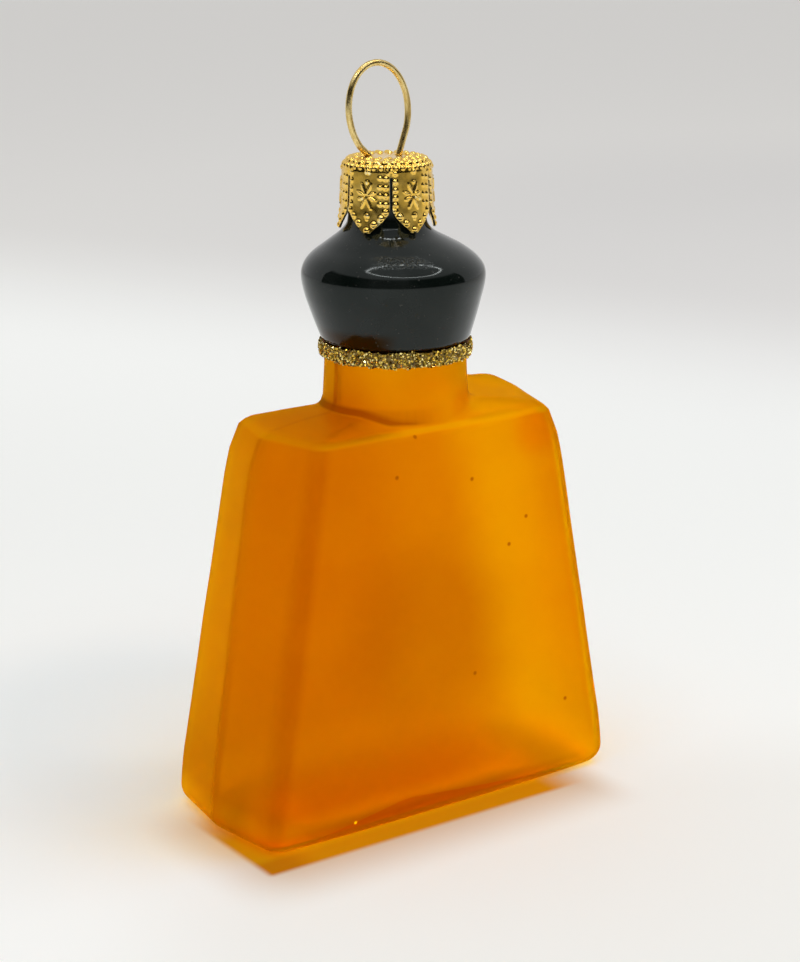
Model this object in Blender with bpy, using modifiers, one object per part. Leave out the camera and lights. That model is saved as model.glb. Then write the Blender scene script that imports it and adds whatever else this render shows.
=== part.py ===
"""A mouth-blown glass hanging ornament in the shape of a squat, tapered bottle.

Metres, +Z up. The origin is on the table under the middle of the body. X runs along the wide
faces, where the two halves of the glass mould met, and the wide front looks along -Y.
"""

import math
import random

import bmesh
import bpy

# Glass body, a flat six-sided bottle that narrows upwards
BODY_HEIGHT = 0.0549
BASE_HALF_FACE = 0.0297
TOP_HALF_FACE = 0.0200
BASE_HALF_WIDTH = 0.0315
TOP_HALF_WIDTH = 0.0230
BASE_HALF_DEPTH = 0.0127
TOP_HALF_DEPTH = 0.0108
END_DRAW_IN = 0.0008
END_DRAW_HEIGHT = 0.0090
CORNER_RADIUS = 0.0026
RIDGE_RADIUS = 0.0050
FOOT_RADIUS = 0.0028
SHOULDER_RADIUS = 0.0024
SHOULDER_CROWN = 0.0012
SHOULDER_FULLNESS = 0.0012
PUNT_DEPTH = 0.0014
FOOT_LAND = 0.0026
GLASS_WALL = 0.0010

# Glass stem above the shoulder: neck, stopper-shaped bulb and the pike that the cap grips
NECK_RADIUS = 0.00995
NECK_HEIGHT = 0.0101
BULB_RADIUS = 0.0121
LOWER_BULB_HEIGHT = 0.0085
UPPER_BULB_HEIGHT = 0.0065
PIKE_RADIUS = 0.0049
PIKE_FOOT_FLARE = 0.00065
PIKE_FOOT_HEIGHT = 0.0018
PIKE_WALL = 0.0006
PIKE_DRIFT = 0.00135

# Black lacquer on the bulb and the pike
COAT_GAP = 0.0002
COAT_THICKNESS = 0.00015
COAT_RIM_MARGIN = 0.0003

# Band of gold glitter round the foot of the bulb
BAND_HEIGHT = 0.0022
BAND_THICKNESS = 0.0002
BAND_GRAIN = 0.0002
BAND_GAP = 0.00015

# Stamped brass crown cap
CAP_SHEET = 0.0003
CAP_CLEARANCE = 0.0006
CAP_SEAT_GAP = 0.00025
CAP_HEIGHT = 0.0094
CAP_SHOULDER_WIDTH = 0.00185
CAP_SHOULDER_DROP = 0.0014
CAP_TOP_GAP = 0.0006
PETALS = 6
PETAL_POINT_HEIGHT = 0.0029
PETAL_TIP_WIDTH = 0.0008
SLIT_WIDTH = 0.0004
SLIT_BELOW_TOP = 0.0023
RIM_BEADS = 24
RIM_BEAD_RADIUS = 0.00042
RIM_BEAD_HEIGHT = 0.00026

# Brass wire hanger: a loop above the cap and two spring legs inside the pike
WIRE_DIAMETER = 0.00088
WIRE_HOLE_CLEARANCE = 0.0003
LOOP_HALF_WIDTH = 0.0047
LOOP_HEIGHT = 0.0125
LOOP_MIDDLE = 0.0064
LOOP_FOOT_ANGLE = math.radians(-52)
LOOP_TILT = math.radians(8.0)
LEG_WALL_CLEARANCE = 0.00114
LEG_SHIFT = 0.00015
LEG_SPREAD = 0.0001
LEG_LENGTH = 0.0160

# Mesh fineness, in counts
STEM_STEPS = 48
CAP_STEPS = 66
BAND_STEPS = 80
HOLE_STEPS = 14
BEAD_SIDES = 7
BEAD_RINGS = 4
FILLET_STEPS = 4
FACE_STEPS = 5
SIDE_STEPS = 2
LOOP_POINTS = 26
GRAIN_SEED = 7

# One length by which cutters run past what they cut, and one within which points are the same
CUT_OVERRUN = 0.0010
SAME_POINT = 0.00001

# Levels of the stack, from the table up
NECK_TOP = BODY_HEIGHT + NECK_HEIGHT
BULB_WIDEST = NECK_TOP + LOWER_BULB_HEIGHT
BULB_TOP = BULB_WIDEST + UPPER_BULB_HEIGHT
CAP_TIPS = BULB_TOP + CAP_SEAT_GAP
CAP_TOP = CAP_TIPS + CAP_HEIGHT
PIKE_TOP = CAP_TOP - CAP_SHEET - CAP_TOP_GAP
WIRE_PIVOT = CAP_TOP - CAP_SHEET / 2

# Radii that follow from one another
COAT_OFFSET = COAT_GAP + COAT_THICKNESS
PIKE_FOOT_RADIUS = PIKE_RADIUS + PIKE_FOOT_FLARE
CAP_RADIUS = PIKE_RADIUS + COAT_OFFSET + CAP_CLEARANCE + CAP_SHEET
CAP_SKIRT_RADIUS = PIKE_FOOT_RADIUS + COAT_OFFSET + CAP_SEAT_GAP + CAP_SHEET
WIRE_RADIUS = WIRE_DIAMETER / 2
LEG_HALF_SPACING = PIKE_RADIUS - PIKE_WALL - LEG_WALL_CLEARANCE - LEG_SPREAD - LEG_SHIFT - WIRE_RADIUS

# Outlines as shares: height up the stretch, and way from its first radius to its last
WAIST_SHARE = 0.97
LOWER_BULB_SHARES = ((0.00, 0.00), (0.22, 0.27), (0.45, 0.53), (0.66, 0.75), (0.85, 0.92), (1.00, 1.00))
UPPER_BULB_SHARES = (
    (0.14, 0.01),
    (0.28, 0.07),
    (0.43, 0.20),
    (0.58, 0.40),
    (0.74, 0.65),
    (0.88, 0.87),
    (1.00, 1.00),
)
PIKE_FOOT_SHARES = ((0.45, 0.75), (1.00, 1.00))
# How far the blown stem leans off the body's axis, by height above the neck
DRIFT_SHARES = ((0.00, 0.00), (0.40, 0.25), (0.66, 0.25), (0.85, 0.45), (0.97, 0.95), (1.00, 1.00))
FRONT_FULLNESS_SHARE = 0.3
WALL_RING_SHARES = (0.50, 1.00)
PUNT_SHARES = ((0.80, 0.55), (0.45, 1.00))
CROWN_SHARES = ((0.85, 0.45), (0.60, 0.85), (0.30, 1.00))
RIM_BEAD_SHARES = ((0.00, 0.00, 0.00), (0.45, 0.12, 0.50))
CAP_SHOULDER_SHARES = ((0.00, 0.00), (0.45, 0.10), (0.80, 0.45), (1.00, 1.00))
PETAL_EDGE_SHARES = ((0.45, 0.42), (0.85, 0.80))
LEG_SHARES = ((0.12, 0.00), (0.35, 0.35), (0.60, 0.80), (0.80, 1.00), (1.00, 0.90))
BAND_SECTION_SHARES = ((0.00, 0.10), (0.14, 0.75), (0.50, 1.00), (0.86, 0.75), (1.00, 0.10))
LOOP_LOWER_SHARE = 1.02
CUTTER_CORE_SHARE = 0.5


def clear_scene():
    """Remove the startup objects."""
    for obj in list(bpy.data.objects):
        bpy.data.objects.remove(obj, do_unlink=True)


def make_collection(name):
    """A new collection under the scene's own."""
    collection = bpy.data.collections.new(name)
    bpy.context.scene.collection.children.link(collection)
    return collection


def material(name, colour, roughness, metallic):
    """A Principled material."""
    made = bpy.data.materials.new(name)
    made.use_nodes = True
    shader = made.node_tree.nodes["Principled BSDF"]
    shader.inputs["Base Color"].default_value = (*colour, 1.0)
    shader.inputs["Roughness"].default_value = roughness
    shader.inputs["Metallic"].default_value = metallic
    made.diffuse_color = (*colour, 1.0)
    return made


def object_from(name, mesh_builder, collection):
    """A new object that holds the finished bmesh."""
    bmesh.ops.recalc_face_normals(mesh_builder, faces=mesh_builder.faces)
    mesh = bpy.data.meshes.new(name)
    mesh_builder.to_mesh(mesh)
    mesh_builder.free()
    obj = bpy.data.objects.new(name, mesh)
    collection.objects.link(obj)
    return obj


def finish(obj, look, sharp_angle=math.radians(40)):
    """Give a piece its material and smooth its round faces."""
    obj.data.materials.clear()
    obj.data.materials.append(look)
    obj.data.shade_smooth()
    obj.data.set_sharp_from_angle(angle=sharp_angle)
    return obj


def as_cutter(obj):
    """Mark an object as a tool that is not part of the model."""
    obj.hide_render = True
    obj.display_type = "WIRE"
    return obj


def boolean(obj, other, operation):
    """Join or cut a piece with another."""
    modifier = obj.modifiers.new(f"{operation.lower()}_{other.name}", "BOOLEAN")
    modifier.operation = operation
    modifier.object = other
    modifier.solver = "EXACT"


def loft(name, rings, collection):
    """A closed solid through rings of equal point count, with a flat face on each end."""
    mesh = bmesh.new()
    rows = [[mesh.verts.new(point) for point in ring] for ring in rings]
    count = len(rows[0])
    for low, high in zip(rows, rows[1:]):
        for i in range(count):
            j = (i + 1) % count
            mesh.faces.new((low[i], low[j], high[j], high[i]))
    mesh.faces.new(rows[0][::-1])
    mesh.faces.new(rows[-1])
    return object_from(name, mesh, collection)


def turned(name, profile, steps, collection):
    """A solid turned from a profile of (radius, height) points that runs from top to bottom."""
    mesh = bmesh.new()
    verts = [mesh.verts.new((radius, 0, height)) for radius, height in profile]
    for first, second in zip(verts, verts[1:]):
        mesh.edges.new((first, second))
    obj = object_from(name, mesh, collection)
    screw = obj.modifiers.new("turn", "SCREW")
    screw.steps = steps
    screw.render_steps = steps
    screw.use_merge_vertices = True
    screw.merge_threshold = SAME_POINT
    return obj


def made_real(obj):
    """Replace an object's mesh by what its modifiers make of it."""
    graph = bpy.context.evaluated_depsgraph_get()
    mesh = bpy.data.meshes.new_from_object(obj.evaluated_get(graph))
    obj.modifiers.clear()
    obj.data = mesh
    return obj


def at_share(shares, share):
    """Read a table of (share, value) pairs at a share, in straight runs."""
    if share <= shares[0][0]:
        return shares[0][1]
    for (low, first), (high, second) in zip(shares, shares[1:]):
        if share <= high:
            return first + (second - first) * (share - low) / (high - low)
    return shares[-1][1]


def stem_drift(height):
    """How far the stem has wandered along -X at a height, as on hand-drawn glass."""
    share = (height - NECK_TOP) / (BULB_TOP - NECK_TOP)
    return -PIKE_DRIFT * at_share(DRIFT_SHARES, share)


def drifted(obj):
    """Lean the turned stem off the body's axis."""
    for vertex in made_real(obj).data.vertices:
        vertex.co.x += stem_drift(vertex.co.z)
    return obj


PIKE_AXIS_X = stem_drift(PIKE_TOP)


def corner_point(first, second):
    """Where two lines meet, each given as (unit normal x, unit normal y, distance)."""
    (ax, ay, a), (bx, by, b) = first, second
    scale = ax * by - ay * bx
    return (a * by - b * ay) / scale, (ax * b - bx * a) / scale


def rounded(before, corner, after, radius, steps):
    """Points along the arc that rounds one corner, from the side before to the side after."""
    one = (corner[0] - before[0], corner[1] - before[1])
    two = (after[0] - corner[0], after[1] - corner[1])
    turn = math.atan2(one[0] * two[1] - one[1] * two[0], one[0] * two[0] + one[1] * two[1])
    length = math.hypot(*one)
    reach = min(radius * math.tan(turn / 2), length / 2, math.hypot(*two) / 2)
    real_radius = reach / math.tan(turn / 2)
    along = (one[0] / length, one[1] / length)
    start = (corner[0] - along[0] * reach, corner[1] - along[1] * reach)
    centre = (start[0] - along[1] * real_radius, start[1] + along[0] * real_radius)
    first = math.atan2(start[1] - centre[1], start[0] - centre[0])
    return [
        (
            centre[0] + real_radius * math.cos(first + turn * k / steps),
            centre[1] + real_radius * math.sin(first + turn * k / steps),
        )
        for k in range(steps + 1)
    ]


def end_draw_in(height):
    """How far the sides curve in near the foot and the shoulder, where the glass left the mould first."""
    from_end = min(height, BODY_HEIGHT - height)
    share = max(1 - from_end / END_DRAW_HEIGHT, 0)
    return END_DRAW_IN * share * share


def hexagon(height, inset):
    """The body's six corners at a height, counterclockwise from the right ridge, drawn in by an inset."""
    share = height / BODY_HEIGHT
    drawn = end_draw_in(height)
    face = BASE_HALF_FACE + (TOP_HALF_FACE - BASE_HALF_FACE) * share - drawn
    width = BASE_HALF_WIDTH + (TOP_HALF_WIDTH - BASE_HALF_WIDTH) * share - drawn
    depth = BASE_HALF_DEPTH + (TOP_HALF_DEPTH - BASE_HALF_DEPTH) * share
    side = math.hypot(depth, width - face)
    slope = (depth / side, (width - face) / side)
    reach = width * slope[0] - inset
    lines = [
        (slope[0], -slope[1], reach),
        (slope[0], slope[1], reach),
        (0, 1, depth - inset),
        (-slope[0], slope[1], reach),
        (-slope[0], -slope[1], reach),
        (0, -1, depth - inset),
    ]
    return [corner_point(lines[k], lines[(k + 1) % len(lines)]) for k in range(len(lines))]


def fullness(x, y):
    """How much the right shoulder came out fuller towards the back than the left one."""
    to_right = min(max(x / TOP_HALF_FACE, 0), 1)
    to_back = min(max((y / TOP_HALF_DEPTH + 1) / 2, 0), 1)
    return SHOULDER_FULLNESS * to_right * (FRONT_FULLNESS_SHARE + (1 - FRONT_FULLNESS_SHARE) * to_back)


def body_ring(height, inset, scale, level, full_share=0):
    """One ring of the body: the hexagon of a height, rounded, drawn in, shrunk and set at a level."""
    corners = hexagon(height, inset)
    ring = []
    arcs = []
    for k, corner in enumerate(corners):
        is_ridge = k in (0, 3)
        radius = (RIDGE_RADIUS if is_ridge else CORNER_RADIUS) - min(inset, CORNER_RADIUS) / 2
        following = corners[(k + 1) % len(corners)]
        arcs.append(rounded(corners[k - 1], corner, following, radius, FILLET_STEPS))
    for k, arc in enumerate(arcs):
        following = arcs[(k + 1) % len(arcs)]
        ring += arc
        along_face = k in (1, 4)
        steps = FACE_STEPS if along_face else SIDE_STEPS
        for step in range(1, steps):
            share = step / steps
            ring.append(
                tuple(arc[-1][axis] + (following[0][axis] - arc[-1][axis]) * share for axis in (0, 1))
            )
    placed = [(x * scale, y * scale) for x, y in ring]
    return [(x, y, level + full_share * fullness(x, y)) for x, y in placed]


def body_rings(wall):
    """All rings of the body's outside, or of its inside for a wall, from the punt to the crown."""
    rings = []
    land = 1 - FOOT_LAND / (BASE_HALF_DEPTH - FOOT_RADIUS)
    for scale_share, rise_share in reversed(PUNT_SHARES):
        rings.append(body_ring(0, FOOT_RADIUS + wall, scale_share * land, PUNT_DEPTH * rise_share + wall))
    rings.append(body_ring(0, FOOT_RADIUS + wall, land, wall))
    for step in range(FILLET_STEPS + 1):
        angle = math.pi / 2 * step / FILLET_STEPS
        drawn_in = FOOT_RADIUS * (1 - math.sin(angle))
        level = FOOT_RADIUS * (1 - math.cos(angle))
        rings.append(body_ring(level, drawn_in + wall, 1, level + wall * math.cos(angle)))
    ends = [FOOT_RADIUS + (END_DRAW_HEIGHT - FOOT_RADIUS) * share for share in WALL_RING_SHARES]
    for level in ends + [BODY_HEIGHT - level for level in reversed(ends)]:
        rings.append(body_ring(level, wall, 1, level))
    for step in range(FILLET_STEPS + 1):
        angle = math.pi / 2 * step / FILLET_STEPS
        drawn_in = SHOULDER_RADIUS * (1 - math.cos(angle))
        level = BODY_HEIGHT - SHOULDER_RADIUS * (1 - math.sin(angle))
        full_share = math.sin(angle)
        rings.append(body_ring(level, drawn_in + wall, 1, level - wall * math.sin(angle), full_share))
    for scale, rise_share in CROWN_SHARES:
        level = BODY_HEIGHT + SHOULDER_CROWN * rise_share - wall
        rings.append(body_ring(BODY_HEIGHT, SHOULDER_RADIUS + wall, scale, level, 1))
    return rings


def bulb_profile():
    """(radius, height) points up the glass from the neck's top to the foot of the pike."""
    waist = NECK_RADIUS * WAIST_SHARE
    points = []
    for height_share, radius_share in LOWER_BULB_SHARES:
        radius = waist + (BULB_RADIUS - waist) * radius_share
        points.append((radius, NECK_TOP + LOWER_BULB_HEIGHT * height_share))
    for height_share, radius_share in UPPER_BULB_SHARES:
        radius = BULB_RADIUS + (PIKE_FOOT_RADIUS - BULB_RADIUS) * radius_share
        points.append((radius, BULB_WIDEST + UPPER_BULB_HEIGHT * height_share))
    for height_share, radius_share in PIKE_FOOT_SHARES:
        radius = PIKE_FOOT_RADIUS - PIKE_FOOT_FLARE * radius_share
        points.append((radius, BULB_TOP + PIKE_FOOT_HEIGHT * height_share))
    return points


def moved_out(points, distance):
    """A profile moved square to itself, outwards for a positive distance."""
    moved = []
    for k, (radius, height) in enumerate(points):
        before = points[max(k - 1, 0)]
        after = points[min(k + 1, len(points) - 1)]
        run = (after[0] - before[0], after[1] - before[1])
        length = math.hypot(*run)
        moved.append((radius + run[1] / length * distance, height - run[0] / length * distance))
    return moved


def stem_profile(wall, top):
    """The closed profile of the stem's outside, or of its inside for a wall, from the top down."""
    start = BODY_HEIGHT - SHOULDER_RADIUS - CORNER_RADIUS
    band_foot = NECK_TOP - BAND_HEIGHT
    glass = [(NECK_RADIUS, start), (NECK_RADIUS, band_foot + BAND_HEIGHT / 2)] + bulb_profile()
    outline = moved_out(glass, -wall) if wall else glass
    pike = PIKE_RADIUS - (PIKE_WALL if wall else 0)
    outline = [(max(radius, pike), height) for radius, height in outline]
    outline[-1] = (pike, outline[-1][1])
    return [(0, top), (pike, top)] + outline[::-1] + [(0, start)]


def make_glass_shell(pieces, cutters):
    """One blown shell: body, neck, bulb and pike, open only at the top of the pike."""
    shell = loft("glass_shell", body_rings(0), pieces)
    stem = drifted(turned("stem_outside", stem_profile(0, PIKE_TOP), STEM_STEPS, cutters))
    inside_body = loft("body_inside", body_rings(GLASS_WALL), cutters)
    bore_top = PIKE_TOP + CUT_OVERRUN
    inside_stem = drifted(turned("stem_inside", stem_profile(GLASS_WALL, bore_top), STEM_STEPS, cutters))
    boolean(shell, as_cutter(stem), "UNION")
    boolean(shell, as_cutter(inside_body), "DIFFERENCE")
    boolean(shell, as_cutter(inside_stem), "DIFFERENCE")
    return finish(shell, material("amber_glass", (0.58, 0.19, 0.004), 0.35, 0.0))


def make_black_coat(pieces):
    """The lacquer: a thin skin that follows the glass from the glitter band to the pike's rim."""
    rim = PIKE_TOP - COAT_RIM_MARGIN
    glass = bulb_profile() + [(PIKE_RADIUS, rim)]
    inner = moved_out(glass, COAT_GAP)
    outer = moved_out(glass, COAT_OFFSET)
    foot = NECK_TOP + BAND_GAP
    inner[0] = (inner[0][0], foot)
    outer[0] = (outer[0][0], foot)
    coat = turned("black_coat", outer[::-1] + inner + outer[-1:], STEM_STEPS, pieces)
    return finish(drifted(coat), material("black_lacquer", (0.010, 0.011, 0.012), 0.08, 0.0))


def make_glitter_band(pieces):
    """A ring of adhesive with coarse glitter grains standing out of it, as one rough band."""
    grains = random.Random(GRAIN_SEED)
    inner = NECK_RADIUS + BAND_GAP
    foot = NECK_TOP - BAND_HEIGHT
    rings = []
    for step in range(BAND_STEPS):
        angle = math.tau * step / BAND_STEPS
        section = [(inner, foot + BAND_HEIGHT * share) for share in (1, 0)]
        for height_share, proud_share in BAND_SECTION_SHARES:
            grain = BAND_GRAIN * grains.random() * proud_share
            shift = BAND_GRAIN * (grains.random() - 1 / 2) * proud_share
            radius = inner + BAND_THICKNESS * proud_share + grain
            section.append((radius, foot + BAND_HEIGHT * height_share + shift))
        rings.append([(r * math.cos(angle), r * math.sin(angle), z) for r, z in section])
    mesh = bmesh.new()
    rows = [[mesh.verts.new(point) for point in ring] for ring in rings]
    for row, following in zip(rows, rows[1:] + rows[:1]):
        for i in range(len(row)):
            j = (i + 1) % len(row)
            mesh.faces.new((row[i], row[j], following[j], following[i]))
    band = object_from("glitter_band", mesh, pieces)
    return finish(band, material("gold_glitter", (0.55, 0.38, 0.10), 0.35, 1.0), 0)


def petal_gap_outline():
    """Half width and height of the gap between two petals, from the slit's top down to the tips."""
    half_slit = SLIT_WIDTH / 2
    point_foot = CAP_TIPS + PETAL_POINT_HEIGHT
    half_gap = CAP_SKIRT_RADIUS * math.sin(math.pi / PETALS) - PETAL_TIP_WIDTH / 2
    edge = [(half_slit, CAP_TOP - SLIT_BELOW_TOP), (half_slit, point_foot)]
    for out_share, down_share in PETAL_EDGE_SHARES:
        out = half_slit + (half_gap - half_slit) * out_share
        edge.append((out, point_foot - PETAL_POINT_HEIGHT * down_share))
    edge.append((half_gap, CAP_TIPS))
    edge.append((half_gap, CAP_TIPS - CUT_OVERRUN))
    return edge


def make_petal_gap(angle, name, cutters):
    """The cutter of one gap: its outline pushed outwards from near the cap's axis."""
    half = petal_gap_outline()
    outline = half + [(-width, height) for width, height in reversed(half)]
    mesh = bmesh.new()
    near = CAP_RADIUS * CUTTER_CORE_SHARE
    far = CAP_SKIRT_RADIUS + CUT_OVERRUN
    rows = [[mesh.verts.new((reach, width, height)) for width, height in outline] for reach in (near, far)]
    for i in range(len(outline)):
        j = (i + 1) % len(outline)
        mesh.faces.new((rows[0][i], rows[0][j], rows[1][j], rows[1][i]))
    mesh.faces.new(rows[0][::-1])
    mesh.faces.new(rows[1])
    gap = object_from(name, mesh, cutters)
    gap.location.x = PIKE_AXIS_X
    gap.rotation_euler.z = angle
    return as_cutter(gap)


def leg_x(side):
    """Where a leg of the hanger passes through the cap, on the left (-1) or the right (1)."""
    return PIKE_AXIS_X - LEG_SHIFT + side * LEG_HALF_SPACING


def make_wire_hole(side, cutters):
    """The cutter of one wire hole in the cap's top."""
    mesh = bmesh.new()
    bmesh.ops.create_cone(
        mesh,
        cap_ends=True,
        segments=HOLE_STEPS,
        radius1=WIRE_RADIUS + WIRE_HOLE_CLEARANCE,
        radius2=WIRE_RADIUS + WIRE_HOLE_CLEARANCE,
        depth=CAP_SHEET + 2 * CUT_OVERRUN,
    )
    hole = object_from("wire_hole_left" if side < 0 else "wire_hole_right", mesh, cutters)
    hole.location = (leg_x(side), 0, WIRE_PIVOT)
    hole.rotation_euler.z = math.pi / HOLE_STEPS
    return as_cutter(hole)


def make_rim_beads(cutters):
    """The two rings of embossed beads round the cap's top, as one tool that is joined to the sheet."""
    mesh = bmesh.new()
    flat = CAP_RADIUS - CAP_SHOULDER_WIDTH
    for out_share, down_share, turn_share in RIM_BEAD_SHARES:
        radius = flat + CAP_SHOULDER_WIDTH * out_share
        level = CAP_TOP - CAP_SHOULDER_DROP * down_share
        for k in range(RIM_BEADS):
            angle = math.tau * (k + turn_share) / RIM_BEADS
            made = bmesh.ops.create_uvsphere(
                mesh,
                u_segments=BEAD_SIDES,
                v_segments=BEAD_RINGS,
                radius=RIM_BEAD_RADIUS,
            )
            bmesh.ops.scale(mesh, verts=made["verts"], vec=(1, 1, RIM_BEAD_HEIGHT / RIM_BEAD_RADIUS))
            place = (radius * math.cos(angle), radius * math.sin(angle), level)
            bmesh.ops.translate(mesh, verts=made["verts"], vec=place)
    beads = object_from("rim_beads", mesh, cutters)
    beads.location.x = PIKE_AXIS_X
    return as_cutter(beads)


def make_crown_cap(pieces, cutters):
    """The stamped cap: a turned sheet, slit into petals with pointed ends, beaded and pierced."""
    flat = CAP_RADIUS - CAP_SHOULDER_WIDTH
    profile = [(0, CAP_TOP)]
    for out_share, down_share in CAP_SHOULDER_SHARES:
        profile.append((flat + CAP_SHOULDER_WIDTH * out_share, CAP_TOP - CAP_SHOULDER_DROP * down_share))
    profile.append((CAP_SKIRT_RADIUS, CAP_TIPS))
    cap = turned("crown_cap", profile, CAP_STEPS, pieces)
    cap.location.x = PIKE_AXIS_X
    sheet = cap.modifiers.new("sheet", "SOLIDIFY")
    sheet.thickness = CAP_SHEET
    sheet.offset = -1
    sheet.use_even_offset = True
    boolean(cap, make_rim_beads(cutters), "UNION")
    for k in range(PETALS):
        boolean(cap, make_petal_gap(math.tau * k / PETALS, f"petal_gap_{k + 1}", cutters), "DIFFERENCE")
    for side in (-1, 1):
        boolean(cap, make_wire_hole(side, cutters), "DIFFERENCE")
    return finish(cap, material("stamped_gold", (0.83, 0.56, 0.17), 0.24, 1.0))


def hanger_points():
    """The wire's centre line from one leg's end, over the loop, to the other leg's end."""
    sweep = math.pi - 2 * LOOP_FOOT_ANGLE
    loop = []
    for k in range(LOOP_POINTS + 1):
        angle = LOOP_FOOT_ANGLE + sweep * k / LOOP_POINTS
        reach = LOOP_HEIGHT - LOOP_MIDDLE if math.sin(angle) > 0 else LOOP_MIDDLE * LOOP_LOWER_SHARE
        x = LOOP_HALF_WIDTH * math.cos(angle)
        z = LOOP_MIDDLE + reach * math.sin(angle)
        leaned_x = x * math.cos(LOOP_TILT) - z * math.sin(LOOP_TILT)
        leaned_z = x * math.sin(LOOP_TILT) + z * math.cos(LOOP_TILT)
        loop.append((leaned_x, leaned_z))
    legs = [(LEG_HALF_SPACING, WIRE_RADIUS), (LEG_HALF_SPACING, 0)]
    for depth_share, spread_share in LEG_SHARES:
        legs.append((LEG_HALF_SPACING + LEG_SPREAD * spread_share, -LEG_LENGTH * depth_share))
    left = [(-x, z) for x, z in legs]
    return legs[::-1] + loop + left


def make_hanger(pieces):
    """The bent wire, with its origin on the line through the two holes that it leans about."""
    curve = bpy.data.curves.new("hanger_wire", "CURVE")
    curve.dimensions = "3D"
    curve.bevel_depth = WIRE_RADIUS
    curve.bevel_resolution = 2
    curve.use_fill_caps = True
    points = hanger_points()
    spline = curve.splines.new("POLY")
    spline.points.add(len(points) - 1)
    for point, (x, z) in zip(spline.points, points):
        point.co = (x, 0, z, 1)
    wire = bpy.data.objects.new("hanger_wire", curve)
    wire.location = (PIKE_AXIS_X - LEG_SHIFT, 0, WIRE_PIVOT)
    pieces.objects.link(wire)
    curve.materials.append(material("brass_wire", (0.70, 0.54, 0.24), 0.18, 1.0))
    return wire


def main():
    clear_scene()
    pieces = make_collection("bottle_ornament")
    cutters = make_collection("cutters")
    make_glass_shell(pieces, cutters)
    make_black_coat(pieces)
    make_glitter_band(pieces)
    make_crown_cap(pieces, cutters)
    make_hanger(pieces)


main()
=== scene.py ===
import math
import random

import bmesh
import bpy
import numpy as np
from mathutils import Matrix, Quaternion, Vector


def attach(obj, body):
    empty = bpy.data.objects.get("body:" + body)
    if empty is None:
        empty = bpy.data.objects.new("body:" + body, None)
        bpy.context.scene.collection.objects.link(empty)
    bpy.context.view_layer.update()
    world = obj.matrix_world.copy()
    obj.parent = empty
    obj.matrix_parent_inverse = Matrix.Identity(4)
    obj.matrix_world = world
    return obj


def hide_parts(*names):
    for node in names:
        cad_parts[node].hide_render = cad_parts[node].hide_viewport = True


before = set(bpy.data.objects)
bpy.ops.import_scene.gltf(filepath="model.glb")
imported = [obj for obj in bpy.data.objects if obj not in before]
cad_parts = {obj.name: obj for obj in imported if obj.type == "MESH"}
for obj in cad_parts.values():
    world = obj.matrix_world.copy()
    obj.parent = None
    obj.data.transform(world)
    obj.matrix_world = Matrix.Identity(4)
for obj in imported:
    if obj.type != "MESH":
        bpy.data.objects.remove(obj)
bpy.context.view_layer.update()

MM = 0.001

# %% [markdown]
# ## The camera
#
# The picture was taken from the left and from a little above, with a lens that is long for the
# size of the thing. A camera in Blender is placed like one in a studio. Choose the point it looks
# at, turn round that point, rise above it and step back. The angle comes first and the lens
# afterwards, because only the place of the camera decides which sides show.

# %% Place the camera
CAMERA_TURN = math.radians(-35.46)
CAMERA_RISE = math.radians(15.85)
CAMERA_DISTANCE = 304.37 * MM
CAMERA_SIDESTEP = 0.63 * MM
LOOKED_AT = Vector((0, 0, 44.65 * MM))
FRAME_HEIGHT_PIXELS = 962
FOCAL_PIXELS = 2200
SENSOR_HEIGHT = 36


def direction(heading, rise):
    """A step of length one along a heading, at an angle above the level."""
    level = math.cos(rise)
    return Vector((math.cos(heading) * level, math.sin(heading) * level, math.sin(rise)))


to_right = direction(CAMERA_TURN, 0)
to_camera = direction(CAMERA_TURN - math.pi / 2, CAMERA_RISE)
lens = bpy.data.cameras.new("studio_camera")
lens.sensor_fit = "VERTICAL"
lens.sensor_height = SENSOR_HEIGHT
lens.lens = FOCAL_PIXELS / FRAME_HEIGHT_PIXELS * SENSOR_HEIGHT
lens.clip_start = 1 * MM
camera = bpy.data.objects.new("studio_camera", lens)
camera.location = LOOKED_AT + to_right * CAMERA_SIDESTEP + to_camera * CAMERA_DISTANCE
camera.rotation_euler = (math.pi / 2 - CAMERA_RISE, 0, CAMERA_TURN)
scene = bpy.context.scene
scene.collection.objects.link(camera)
scene.camera = camera
print(f"camera {camera.location.z / MM:.0f} mm above the table, lens {lens.lens:.0f} mm")

# %% [markdown]
# ## The outline of the glass
#
# Seen from above, the bottle is a flat hexagon: two wide faces, and two narrow sides that each come
# to a blunt ridge where the halves of the mould met. One function gives that outline at any
# height, and the whole body is then a stack of such outlines. It could also be a cube that is
# bevelled, but a stack lets every level have its own size, which is how the taper is made.

# %% Outline of the body at one height
BODY_HEIGHT = 54.9 * MM
BASE_HALF_FACE = 29.7 * MM
TOP_HALF_FACE = 20.0 * MM
BASE_HALF_WIDTH = 31.5 * MM
TOP_HALF_WIDTH = 23.0 * MM
BASE_HALF_DEPTH = 12.7 * MM
TOP_HALF_DEPTH = 10.8 * MM
END_DRAW_IN = 0.8 * MM
END_DRAW_HEIGHT = 9.0 * MM
CORNER_RADIUS = 2.6 * MM
RIDGE_RADIUS = 5.0 * MM
SEAM_DEPTH = 0.10 * MM

CORNER_STEPS = 8
RIDGE_STEPS = 12
FACE_STEPS = 30
SIDE_STEPS = 10


def between(low, high, share):
    """The value a share of the way from low to high."""
    return low + (high - low) * share


def crossing(first, second):
    """Where two lines meet, each given as (unit normal x, unit normal y, distance)."""
    (ax, ay, a), (bx, by, b) = first, second
    scale = ax * by - ay * bx
    return np.array(((a * by - b * ay) / scale, (ax * b - bx * a) / scale))


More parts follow.
